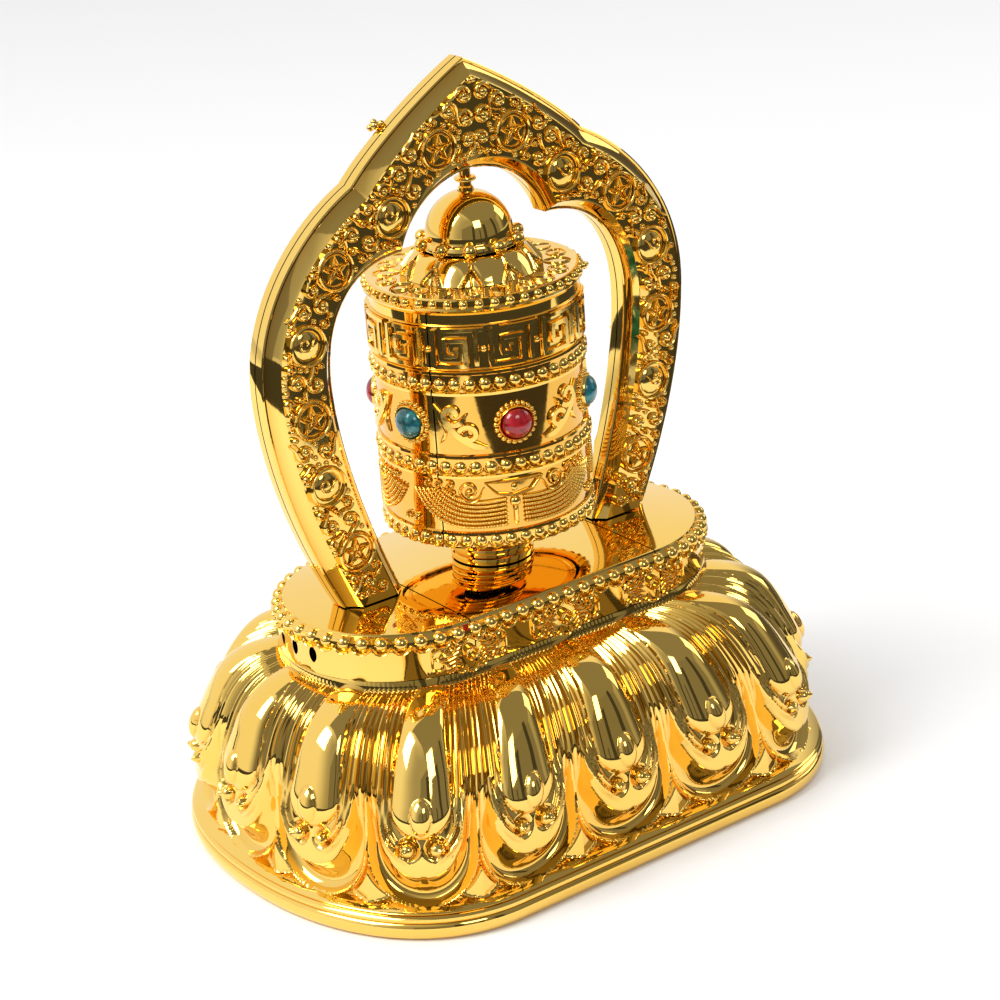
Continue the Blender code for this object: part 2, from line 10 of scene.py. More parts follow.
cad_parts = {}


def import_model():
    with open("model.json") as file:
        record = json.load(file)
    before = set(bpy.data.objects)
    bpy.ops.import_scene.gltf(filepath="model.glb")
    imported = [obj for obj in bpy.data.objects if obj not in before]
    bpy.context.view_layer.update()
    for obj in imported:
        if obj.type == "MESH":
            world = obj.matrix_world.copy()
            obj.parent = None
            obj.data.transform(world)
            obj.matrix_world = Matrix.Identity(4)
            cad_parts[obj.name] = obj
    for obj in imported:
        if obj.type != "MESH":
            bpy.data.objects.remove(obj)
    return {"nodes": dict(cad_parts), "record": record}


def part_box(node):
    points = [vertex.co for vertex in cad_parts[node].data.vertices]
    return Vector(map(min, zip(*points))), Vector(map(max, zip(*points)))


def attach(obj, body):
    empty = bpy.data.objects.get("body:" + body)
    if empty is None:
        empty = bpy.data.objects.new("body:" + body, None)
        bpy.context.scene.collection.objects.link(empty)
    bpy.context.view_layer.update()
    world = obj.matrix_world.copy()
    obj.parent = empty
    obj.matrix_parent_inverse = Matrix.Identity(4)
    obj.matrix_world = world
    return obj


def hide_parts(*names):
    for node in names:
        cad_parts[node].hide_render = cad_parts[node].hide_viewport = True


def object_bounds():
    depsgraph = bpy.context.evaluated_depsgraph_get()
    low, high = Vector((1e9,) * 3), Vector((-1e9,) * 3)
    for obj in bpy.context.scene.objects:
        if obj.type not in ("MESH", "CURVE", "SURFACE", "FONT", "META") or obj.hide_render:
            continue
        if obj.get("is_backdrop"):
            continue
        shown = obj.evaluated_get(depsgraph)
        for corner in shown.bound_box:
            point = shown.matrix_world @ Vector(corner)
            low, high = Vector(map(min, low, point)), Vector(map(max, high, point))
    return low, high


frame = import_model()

MM = 0.001
CAD_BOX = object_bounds()


def top_of(node):
    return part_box(node)[1].z / MM


def bottom_of(node):
    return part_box(node)[0].z / MM


def round_box(box):
    """Centre, radius, bottom and top, in millimetres, of the round upright CAD piece in a box."""
    low, high = box
    centre = ((low.x + high.x) / 2.0 / MM, (low.y + high.y) / 2.0 / MM)
    return centre, (high.x - low.x) / 2.0 / MM, low.z / MM, high.z / MM


# Driving dimensions, in millimetres, read from the frame where it holds them.
FOOT = (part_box("foot_tray")[1].x / MM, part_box("foot_tray")[1].y / MM, 34.0)
FOOT_POWER = 2.18
FOOT_HEIGHT = top_of("foot_tray")
TRAY_FLOOR = 2.0

PLATE_Z = top_of("pedestal_middle")
# The wall reaches a little below the CAD one, so that no dark gap shows over the lotus.
PEDESTAL_FOOT = bottom_of("pedestal_middle") - 0.24
PEDESTAL_RADIUS = 24.3
PEDESTAL_STRAIGHT = 22.7
PLATE_RADIUS = 22.9
BEAD_RADIUS = 1.42
BEAD_COUNT = 65
CLOUD_CENTRES = (-23.9, -1.3, 20.8)
CLOUD_Z = 45.3
VENT_ANGLES = (165.0, 178.0, 191.0)
VENT_Z = 45.9
VENT_HALF_HEIGHT = 1.7
SHELL = 1.6
SEAM = 0.3

PETALS = 16
PETAL_COLUMNS = 96
PETAL_NOSE = 11.0
RIB_SPACING = 0.12
FIRST_PETAL_X = -3.5
LOTUS_TOP = 42.0
LOTUS_CREST = 3.0
LOTUS_SINK = 3.4
LOTUS_CREST_DIP = 1.0

ARCH_EDGE_Y = 2.1
ARCH_FACE_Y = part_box("arch_rear")[1].y / MM
ARCH_BORDER = 3.0
ARCH_INNER_BORDER = 2.3
ARCH_SHELL = 1.3
MEDALLION_RADIUS = 4.1

DRUM_RADIUS = 20.2
DRUM_TOP = top_of("drum_shell_front")
DRUM_BOTTOM = bottom_of("drum_shell_front")
SEAM_ANGLE = 208.0
# Upper and lower edges of the bead channels, and each row's height, bead radius and lift.
BEAD_CHANNELS = ((96.2, 91.6), (79.5, 75.0), (63.8, 60.5))
BEAD_ROWS = ((93.8, 1.3, -0.25), (77.2, 1.3, -0.25), (62.2, 1.25, -0.3))
DRUM_BEADS = 44
FRET_REPEATS = 12
FRET_LOW = 97.4
FRET_HEIGHT = 7.2
FEATHER_REPEATS = 3
FEATHER_ANGLE = -111.0
LID_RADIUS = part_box("drum_lid")[1].x / MM
LID_TOP = top_of("drum_lid")
STONE_Z = (top_of("coral_stone_1") + bottom_of("coral_stone_1")) / 2.0
STONE_RADIUS = (top_of("coral_stone_1") - bottom_of("coral_stone_1")) / 2.0
STONE_HEIGHT = 2.3
FIRST_STONE_ANGLE = 12.4
COLLAR_POINTS = 10
COLLAR_COLUMNS = 48
DOME_RADIUS = 8.5
DOME_CENTRE_Z = 117.2
NECK_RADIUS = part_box("neck_collar")[1].x / MM
BORE_RADIUS = 3.3
PIN_HOLE_RADIUS = 2.2
SCREW_HEAD_RADIUS = 2.6
NUB_X = -17.2
NUB_Z = 140.8
LID_NUB_ANGLE = -39.0


# Mesh building ------------------------------------------------------------------------------------

def grid_faces(rows, columns, wrap_rows=False, wrap_columns=True):
    """Quads of a grid of points stored row by row."""
    index = np.arange(rows * columns).reshape(rows, columns)
    if wrap_columns:
        index = np.hstack([index, index[:, :1]])
    if wrap_rows:
        index = np.vstack([index, index[:1]])
    corners = [index[:-1, :-1], index[:-1, 1:], index[1:, 1:], index[1:, :-1]]
    return np.stack(corners, -1).reshape(-1, 4)


class Shape:
    """Points in millimetres and faces gathered from many closed parts."""

    def __init__(self):
        self.points = []
        self.faces = []
        self.total = 0

    def add(self, points, faces):
        self.points.append(np.asarray(points, float))
        for group in faces:
            self.faces.extend((np.asarray(group) + self.total).tolist())
        self.total += len(points)

    def add_rows(self, rows, ring=False):
        """Closed sections skinned together; a ring joins last to first, otherwise both ends are capped."""
        rows = np.asarray(rows, float)
        count, columns = rows.shape[:2]
        faces = [grid_faces(count, columns, wrap_rows=ring)]
        if not ring:
            faces.append([list(range(columns))[::-1]])
            faces.append([list(range((count - 1) * columns, count * columns))])
        self.add(rows.reshape(-1, 3), faces)

    def make(self, name, finish, body, slot, sharp=32.0, replaces=()):
        mesh = bpy.data.meshes.new(name)
        mesh.from_pydata((np.concatenate(self.points) * MM).tolist(), [], self.faces)
        bm = bmesh.new()
        bm.from_mesh(mesh)
        bmesh.ops.recalc_face_normals(bm, faces=bm.faces)
        bm.to_mesh(mesh)
        bm.free()
        mesh.materials.append(finish)
        mesh.shade_smooth()
        mesh.set_sharp_from_angle(angle=math.radians(sharp))
        item = bpy.data.objects.new(name, mesh)
        bpy.context.scene.collection.objects.link(item)
        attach(item, body)
        if replaces:
            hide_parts(*replaces)
        return item


def ball_pattern(segments, rings, low=-90.0):
    """Unit ball from the elevation low up to the pole, as points and faces."""
    points = []
    for ring in range(rings):
        rise = math.radians(low + (90.0 - low) * (ring + (1.0 if low <= -90.0 else 0.0)) / (rings + 1))
        for step in range(segments):
            turn = 2.0 * math.pi * step / segments
            points.append((math.cos(rise) * math.cos(turn), math.cos(rise) * math.sin(turn), math.sin(rise)))
    faces = grid_faces(rings, segments).tolist()
    points.append((0.0, 0.0, 1.0))
    top = (rings - 1) * segments
    faces += [[top + step, top + (step + 1) % segments, len(points) - 1] for step in range(segments)]
    if low <= -90.0:
        points.append((0.0, 0.0, -1.0))
        faces += [[(step + 1) % segments, step, len(points) - 1] for step in range(segments)]
    else:
        faces.append(list(range(segments))[::-1])
    return np.array(points), faces


BALL = ball_pattern(14, 9)
DROP = ball_pattern(12, 4, low=-15.0)


def split_faces(faces):
    return [[face] for face in faces]


def add_ball(shape, centre, radius, stretch=(1.0, 1.0, 1.0)):
    points, faces = BALL
    shape.add(points * radius * np.array(stretch) + np.array(centre), split_faces(faces))


def add_ball_ring(shape, count, reach, height, radius, first=0.0):
    """Balls evenly round the Z axis, the first turned by a share of their pitch."""
    for index in range(count):
        angle = 2.0 * math.pi * (index + first) / count
        add_ball(shape, (reach * math.cos(angle), reach * math.sin(angle), height), radius)


def add_pearl(shape, place, u, v, radius, height, stretch=1.0, turn=0.0):
    """Dome standing on a surface; stretch makes it a long drop at the angle turn."""
    points, faces = DROP
    along = points[:, 0] * radius * stretch
    across = points[:, 1] * radius
    first = u + along * math.cos(turn) - across * math.sin(turn)
    second = v + along * math.sin(turn) + across * math.cos(turn)
    shape.add(place(first, second, points[:, 2] * height), split_faces(faces))


ROUND_LINE = [(-1.0, -0.35), (-0.9, 0.35), (-0.6, 0.8), (0.0, 1.0), (0.6, 0.8), (0.9, 0.35), (1.0, -0.35)]
FLAT_LINE = [(-1.0, -0.35), (-0.95, 0.7), (-0.7, 1.0), (0.7, 1.0), (0.95, 0.7), (1.0, -0.35)]


def add_line(shape, place, path, width, height, closed=False, section=ROUND_LINE, taper=0.25):
    """Raised line along a flat path, laid on a surface by place(u, v, lift)."""
    path = np.asarray(path, float)
    if closed:
        tangent = np.roll(path, -1, axis=0) - np.roll(path, 1, axis=0)
    else:
        tangent = np.gradient(path, axis=0)
    tangent /= np.maximum(np.linalg.norm(tangent, axis=1), 1e-9)[:, None]
    normal = np.stack([-tangent[:, 1], tangent[:, 0]], -1)
    share = np.ones(len(path))
    if not closed:
        steps = max(1, len(path) // 6)
        rise = np.linspace(taper, 1.0, steps + 1)[:-1]
        share[:steps] = rise
        share[-steps:] = rise[::-1]
    rows = []
    for point, side, scale in zip(path, normal, share):
        out = np.array([corner[0] for corner in section]) * width / 2.0 * scale
        lift = np.array([corner[1] for corner in section]) * height * (0.5 + 0.5 * scale)
        rows.append(place(point[0] + side[0] * out, point[1] + side[1] * out, lift))
    shape.add_rows(rows, ring=closed)


def arc_path(centre, radius, start, sweep, steps=14):
    angles = np.radians(np.linspace(start, start + sweep, steps))
    return np.stack([centre[0] + radius * np.cos(angles), centre[1] + radius * np.sin(angles)], -1)


def circle_path(centre, radius, steps=28, start=0.0):
    return arc_path(centre, radius, start, 360.0, steps + 1)[:-1]


def spiral_path(centre, radius, start, turns, tail=0.0, hand=1, steps=22):
    """Curl that winds in from its radius; its straight tail leaves along the tangent."""
    angles = np.linspace(0.0, 2.0 * math.pi * turns, steps)
    reach = radius * (1.0 - 0.78 * angles / angles[-1])
    heading = math.radians(start) + hand * angles
    points = np.stack([centre[0] + reach * np.cos(heading), centre[1] + reach * np.sin(heading)], -1)
    if tail:
        first = math.radians(start)
        away = np.array([hand * math.sin(first), -hand * math.cos(first)])
        bend = np.array([math.cos(first), math.sin(first)])
        lead = [points[0] + away * tail * share + bend * tail * 0.35 * share ** 2
                for share in (1.0, 0.66, 0.33)]
        points = np.vstack([lead, points])
    return points


def add_volute(shape, place, centre, radius, start, hand, tail):
    """Vine curl with a pearl at its eye."""
    line = max(0.42, radius * 0.42)
    path = spiral_path(centre, radius - line / 2.0, start, 1.15, tail, hand)
    add_line(shape, place, path, line, 0.95, taper=0.5)
    add_pearl(shape, place, centre[0], centre[1], radius * 0.40, 1.1)


def turned_rows(profile, segments, start=0.0, sweep=360.0, centre=(0.0, 0.0)):
    """Sections of a closed (radius, height) outline turned about a vertical axis."""
    full = sweep >= 360.0
    angles = np.radians(start + sweep * np.arange(segments if full else segments + 1) / segments)
    outline = np.array(profile, float)
    rows = np.empty((len(angles), len(outline), 3))
    rows[:, :, 0] = centre[0] + np.cos(angles)[:, None] * outline[None, :, 0]
    rows[:, :, 1] = centre[1] + np.sin(angles)[:, None] * outline[None, :, 0]
    rows[:, :, 2] = outline[None, :, 1]
    return rows


def add_turned(shape, profile, segments, start=0.0, sweep=360.0, centre=(0.0, 0.0)):
    shape.add_rows(turned_rows(profile, segments, start, sweep, centre), ring=sweep >= 360.0)


# Materials ----------------------------------------------------------------------------------------

class Finish:
    """A node material with helpers for noise-driven colour, roughness and bump."""

    def __init__(self, name):
        self.material = bpy.data.materials.new(name)
        self.material.use_nodes = True
        self.tree = self.material.node_tree
        self.shader = self.tree.nodes["Principled BSDF"]
        self.place = self.tree.nodes.new("ShaderNodeTexCoord").outputs["Object"]

    def noise(self, scale, detail=3.0, stretch=(1.0, 1.0, 1.0)):
        mapping = self.tree.nodes.new("ShaderNodeMapping")
        mapping.inputs["Scale"].default_value = stretch
        self.tree.links.new(self.place, mapping.inputs["Vector"])
        node = self.tree.nodes.new("ShaderNodeTexNoise")
        node.inputs["Scale"].default_value = scale
        node.inputs["Detail"].default_value = detail
        self.tree.links.new(mapping.outputs["Vector"], node.inputs["Vector"])
        return node.outputs["Fac"]

    def ramp(self, source, stops):
        node = self.tree.nodes.new("ShaderNodeValToRGB")
        elements = node.color_ramp.elements
        while len(elements) < len(stops):
            elements.new(0.5)
        for element, (position, colour) in zip(elements, stops):
            element.position = position
            element.color = (*colour, 1.0)
        self.tree.links.new(source, node.inputs["Fac"])
        return node.outputs["Color"]

    def spread(self, source, low, high):
        node = self.tree.nodes.new("ShaderNodeMapRange")
        node.inputs["From Min"].default_value = 0.3
        node.inputs["From Max"].default_value = 0.7
        node.inputs["To Min"].default_value = low
        node.inputs["To Max"].default_value = high
        self.tree.links.new(source, node.inputs["Value"])
        return node.outputs["Result"]

    def bump(self, source, strength, distance):
        node = self.tree.nodes.new("ShaderNodeBump")
        node.inputs["Strength"].default_value = strength
        node.inputs["Distance"].default_value = distance
        self.tree.links.new(source, node.inputs["Height"])
        self.tree.links.new(node.outputs["Normal"], self.shader.inputs["Normal"])

    def feed(self, source, socket):
        self.tree.links.new(source, self.shader.inputs[socket])

    def fix(self, **values):
        for socket, value in values.items():
            self.shader.inputs[socket.replace("_", " ")].default_value = value


def pointiness_of(finish):
    return finish.tree.nodes.new("ShaderNodeNewGeometry").outputs["Pointiness"]


def gold_finish(name, roughness, ripple):
    """Vacuum-plated gold lacquer: mirror bright, faintly rippled, with painted shade that darkens the colour
    and deepens its hue in the recesses.
    """
    finish = Finish(name)
    finish.fix(Metallic=1.0)
    patches = finish.noise(34.0, 4.0)
    hue = finish.ramp(patches, [(0.30, (0.95, 0.602, 0.120)), (0.70, (0.95, 0.648, 0.170))])
    # Painted shade: the colour is multiplied darker and more orange where low pointiness marks a recess.
    recess_shade = finish.ramp(pointiness_of(finish), [(0.44, (0.86, 0.70, 0.55)), (0.50, (1.0, 1.0, 1.0))])
    mix = finish.tree.nodes.new("ShaderNodeMix")
    mix.data_type = "RGBA"
    mix.blend_type = "MULTIPLY"
    mix.inputs["Factor"].default_value = 1.0
    finish.tree.links.new(hue, mix.inputs["A"])
    finish.tree.links.new(recess_shade, mix.inputs["B"])
    finish.feed(mix.outputs["Result"], "Base Color")
    finish.feed(finish.spread(finish.noise(190.0, 5.0), roughness * 0.6, roughness * 1.5), "Roughness")
    finish.bump(finish.noise(420.0, 2.0), ripple, 0.0002)
    return finish.material


def metal_finish(name, light, dark, roughness):
    """Drawn or turned metal with fine rings of tool marks."""
    finish = Finish(name)
    finish.fix(Metallic=1.0)
    marks = finish.noise(900.0, 3.0, stretch=(0.05, 0.05, 3.0))
    finish.feed(finish.ramp(marks, [(0.3, dark), (0.7, light)]), "Base Color")
    finish.feed(finish.spread(marks, roughness * 0.7, roughness * 1.4), "Roughness")
    finish.bump(marks, 0.15, 0.0001)
    return finish.material


def stone_finish(name, deep, mid, pale):
    """Polished stone bead with a cloudy body and pale flecks."""
    finish = Finish(name)
    finish.fix(Roughness=0.18, Coat_Weight=0.6, Coat_Roughness=0.05)
    cloud = finish.noise(620.0, 6.0)
    finish.feed(finish.ramp(cloud, [(0.32, deep), (0.50, mid), (0.72, pale)]), "Base Color")
    finish.bump(finish.noise(1500.0, 3.0), 0.12, 0.0001)
    return finish.material


def moulded_finish(name, light, dark, roughness):
    """Satin moulded plastic with a fine spark-eroded texture."""
    finish = Finish(name)
    finish.feed(finish.ramp(finish.noise(90.0, 4.0), [(0.3, dark), (0.7, light)]), "Base Color")
    grain = finish.noise(2600.0, 2.0)
    finish.feed(finish.spread(grain, roughness * 0.8, roughness * 1.2), "Roughness")
    finish.bump(grain, 0.3, 0.0001)
    return finish.material


def fibre_finish(name, light, dark, stretch):
    """Matt fibres, felted or laid in a sheet."""
    finish = Finish(name)
    finish.fix(Sheen_Weight=0.3)
    fibres = finish.noise(1400.0, 6.0, stretch=stretch)
    finish.feed(finish.ramp(fibres, [(0.3, dark), (0.7, light)]), "Base Color")
    finish.feed(finish.spread(fibres, 0.8, 0.98), "Roughness")
    finish.bump(fibres, 0.6, 0.0002)
    return finish.material


GOLD = gold_finish("gold_mirror", 0.045, 0.02)
GOLD_RELIEF = gold_finish("gold_relief", 0.10, 0.05)
STEEL = metal_finish("steel_turned", (0.70, 0.70, 0.72), (0.52, 0.52, 0.55), 0.24)
BRASS = metal_finish("brass_turned", (0.80, 0.60, 0.26), (0.62, 0.44, 0.16), 0.22)
CORAL = stone_finish("coral_polished", (0.10, 0.001, 0.003), (0.30, 0.003, 0.007), (0.48, 0.012, 0.018))
TURQUOISE = stone_finish("turquoise_polished", (0.002, 0.05, 0.06), (0.005, 0.14, 0.16), (0.04, 0.30, 0.31))
BLACK_PLASTIC = moulded_finish("black_plastic_moulded", (0.035, 0.035, 0.037), (0.02, 0.02, 0.021), 0.45)
CLEAR_PLASTIC = moulded_finish("milky_plastic_moulded", (0.75, 0.75, 0.73), (0.62, 0.62, 0.60), 0.30)
PAPER = fibre_finish("paper_rolled", (0.86, 0.82, 0.70), (0.74, 0.69, 0.55), (0.3, 0.3, 1.0))
FELT = fibre_finish("felt_pressed", (0.78, 0.73, 0.64), (0.62, 0.56, 0.47), (1.0, 1.0, 1.0))


def dress_cad_nodes():
    """Carried-over CAD nodes take the finer materials."""
    finishes = {
        "steel": STEEL, "brass": BRASS, "paper": PAPER, "black_plastic": BLACK_PLASTIC,
        "clear_plastic": CLEAR_PLASTIC, "felt": FELT, "gold": GOLD, "coral": CORAL, "turquoise": TURQUOISE,
    }
    slots = {entry["node"]: entry["material_slot"] for entry in frame["record"]["subparts"]}
    for name, node in frame["nodes"].items():
        finish = finishes[slots[name]]
        node.data.materials.clear()
        node.data.materials.append(finish)


# Ovals --------------------------------------------------------------------------------------------

def oval_points(shape, power, count, shift=0.0):
    """Evenly spaced points round an oval, anticlockwise from shift millimetres past the front middle."""
    half_length, half_width, end = shape
    straight = half_length - end
    angle = np.linspace(0.0, math.pi / 2.0, 120)
    curve_x = straight + end * np.sin(angle) ** (2.0 / power)
    curve_y = -half_width * np.maximum(np.cos(angle), 0.0) ** (2.0 / power)
    quarter = np.vstack([[[0.0, -half_width]], np.stack([curve_x, curve_y], -1)])
    half = np.vstack([quarter, (quarter * [1, -1])[::-1][1:]])
    whole = np.vstack([half, (half * [-1, 1])[::-1][1:]])
    lengths = np.concatenate([[0.0], np.cumsum(np.linalg.norm(np.diff(whole, axis=0), axis=1))])
    wanted = (np.arange(count) / count * lengths[-1] + shift) % lengths[-1]
    return np.stack([np.interp(wanted, lengths, whole[:, axis]) for axis in (0, 1)], -1), lengths[-1]


def inset(shape, distance):
    return tuple(value - distance for value in shape)


def blend_ovals(share):
    """Oval part of the way from the pedestal (0) to the foot (1)."""
    neck = (PEDESTAL_STRAIGHT + PEDESTAL_RADIUS, PEDESTAL_RADIUS, PEDESTAL_RADIUS)
    rim = inset(FOOT, 1.0)
    return tuple(a + (b - a) * share for a, b in zip(neck, rim))


def plan_power(share):
    """Squareness of the plan that far down the lotus: a true oval at the pedestal."""
    return 2.0 + (FOOT_POWER - 2.0) * share


def level_row(shape, power, count, height, shift=0.0):
    points, _ = oval_points(shape, power, count, shift)
    return np.hstack([points, np.full((count, 1), height)])


# Foot band ----------------------------------------------------------------------------------------

def foot_tray():
    """Rounded outer band with a groove under its upper bead."""
    profile = [
        (2.4, 0.0), (1.6, 0.0), (0.9, 0.25), (0.35, 0.8), (0.1, 1.6), (0.0, 2.4), (0.05, 3.0), (0.35, 3.45),
        (0.55, 3.6), (0.45, 3.8), (0.3, 4.1), (0.4, 4.6), (0.8, 5.0), (1.4, FOOT_HEIGHT),
        (4.0, FOOT_HEIGHT), (4.0, TRAY_FLOOR),
    ]
    rows = [level_row(inset(FOOT, distance), FOOT_POWER, 420, height) for distance, height in profile]
    shape = Shape()
    shape.add_rows(rows)
    tray = shape.make("foot_band", GOLD, "root", "gold", replaces=["foot_tray"])
    cut_tray_holes(tray)


def cylinder(name, radius, low, high, centre, segments=48):
    shape = Shape()
    outline = circle_path(centre, radius, segments)
    shape.add_rows([[(x, y, z) for x, y in outline] for z in (low, high)])
    return shape.make(name, GOLD, "root", "gold")


def cut(item, cutters):
    """Take the cutters out of the item for good, and remove them."""
    for cutter in cutters:
        change = item.modifiers.new("cut", "BOOLEAN")
        change.operation = "DIFFERENCE"
        change.solver = "EXACT"
        change.object = cutter
    graph = bpy.context.evaluated_depsgraph_get()
    made = bpy.data.meshes.new_from_object(item.evaluated_get(graph))
    item.modifiers.clear()
    item.data = made
    made.shade_smooth()
    made.set_sharp_from_angle(angle=math.radians(32.0))
    for cutter in cutters:
        bpy.data.objects.remove(cutter)


def base_screw_places():
    return [round_box(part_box("base_screw_%d" % number))[0] for number in range(1, 5)]


def cut_tray_holes(tray):
    centre, radius, _, _ = round_box(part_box("scent_hatch"))
    cutters = [cylinder("hatch_hole", radius + SEAM, -1.0, 4.0, centre, 96)]
    for place in base_screw_places():
        cutters.append(cylinder("screw_hole", 1.6, -1.0, 4.0, place))
        cutters.append(cylinder("head_sink", SCREW_HEAD_RADIUS + SEAM, -1.0, 1.2, place))
    cut(tray, cutters)


# Lotus base ---------------------------------------------------------------------------------------

def ridge(distance, half_width):
    """Smooth raised line: 1 on its middle, 0 beyond its half width."""
    near = np.clip(1.0 - np.abs(distance) / half_width, 0.0, 1.0)
    return near * near * (3.0 - 2.0 * near)


def step_up(value, width):
    """0 well below zero and 1 well above it, with a smooth rise of the given width."""
    share = np.clip(value / width + 0.5, 0.0, 1.0)
    return share * share * (3.0 - 2.0 * share)


def spot(x, y, radius_x, radius_y):
    """Height of a unit half ball over an ellipse, 0 outside it."""
    return np.sqrt(np.clip(1.0 - (x / radius_x) ** 2 - (y / radius_y) ** 2, 0.0, 1.0))


def rounded_end(side, rise, half, lowest, nose):
    """Distance inside a round-ended tongue; negative outside it.

    half is the tongue's half width, lowest the rise of its end and nose the height of its round part.
    """
    below = np.clip(lowest + nose - rise, 0.0, None) / nose * half
    return half - np.hypot(side, below)


def petal_relief(across, rise, half_pitch, length):
    """Height of the petal carving in millimetres.

    across is the distance from the petal's axis, rise the distance up from its tip along the skirt.
    """
    side = np.abs(across)
    share = side / half_pitch
    low_zone = step_up(19.0 - rise, 13.0)
    upper = 1.0 - low_zone
    # The carving is narrower, against its pitch, near the tip than it is half way up.
    spread = np.interp(rise, [8.0, 26.0], [0.86, 1.0]) * half_pitch
    outer_gap = rounded_end(side, rise, half_pitch, 0.0, PETAL_NOSE)
    inside = step_up(outer_gap, 0.8)
    height = 2.3 * (inside * low_zone + upper)
    height += 0.6 * ridge(outer_gap - 0.55, 0.55) * low_zone
    # Body of the petal, its lower lip drawn into two shallow lobes.
    body_gap = rounded_end(side, rise, 0.80 * spread, 6.9, 9.0)
    body_gap = body_gap + 0.4 * spot(side - 3.4, rise - 8.5, 3.2, 5.0)
    # Hollow between the rim and the body.
    across_hollow = np.clip(outer_gap / np.maximum(outer_gap - body_gap, 1e-6), 0.0, 1.0)
    depth = 3.0 * np.sin(math.pi * across_hollow ** 0.8)
    height -= depth * low_zone * inside * step_up(-body_gap + 0.3, 0.8)
    height += 0.9 * step_up(body_gap - 0.2, 0.9) * low_zone
    # Even ribs above; the two nearest the finger run down and turn in under it as a pair of lines.
    ribs = 0.5 + 0.5 * np.cos(2.0 * math.pi * (share - 1.0) / RIB_SPACING)
    finger_half = 0.57 * spread * (1.0 - 0.36 * np.clip((rise - 18.0) / (length - 18.0), 0.0, 1.0))
    near_crest = step_up(rise - (length - 9.0), 15.0)
    height += 0.75 * ribs * upper * step_up(side - finger_half - 0.1, 0.4) * (1.0 - 0.5 * near_crest)
    line_gap = rounded_end(side, rise, 0.745 * spread, 10.0, 8.0)
    shown = step_up(side - 3.1, 1.0) * low_zone
    height += 0.8 * ridge(line_gap, 0.75) * shown
    height += 0.8 * ridge(line_gap - 1.35, 0.75) * np.maximum(shown, step_up(rise - 14.0, 2.0) * low_zone)
    # Volutes at the lines' ends: a smooth ball in a shallow cup.
    around = np.hypot(side - 2.7, rise - 12.6)
    height -= 0.5 * ridge(around - 1.7, 0.8) * low_zone
    height += 1.5 * spot(side - 2.7, rise - 12.6, 1.45, 1.45)
    # Long smooth finger with a drop pearl at its end.
    finger_gap = rounded_end(side, rise, finger_half, 14.6, 6.0)
    bulge = np.clip(finger_gap / finger_half, 0.0, 1.0)
    height += 2.3 * np.sqrt(bulge * (2.0 - bulge)) * (1.0 - 0.72 * near_crest)
    height += 1.1 * spot(across, rise - 18.8, 1.9, 3.3)
    return height


def rear_row_relief(across, rise, half_pitch):
    """Pointed rear petals that show between the tips, each creased down its middle."""
    offset = half_pitch - np.abs(across)
    gap = np.minimum(rounded_end(offset, rise, 5.6, 0.7, 3.0), (12.0 - rise) * 0.45 - offset)
    body = step_up(gap, 0.7)
    return body * (1.6 - 0.3 * offset) + 0.4 * ridge(gap - 0.4, 0.4)


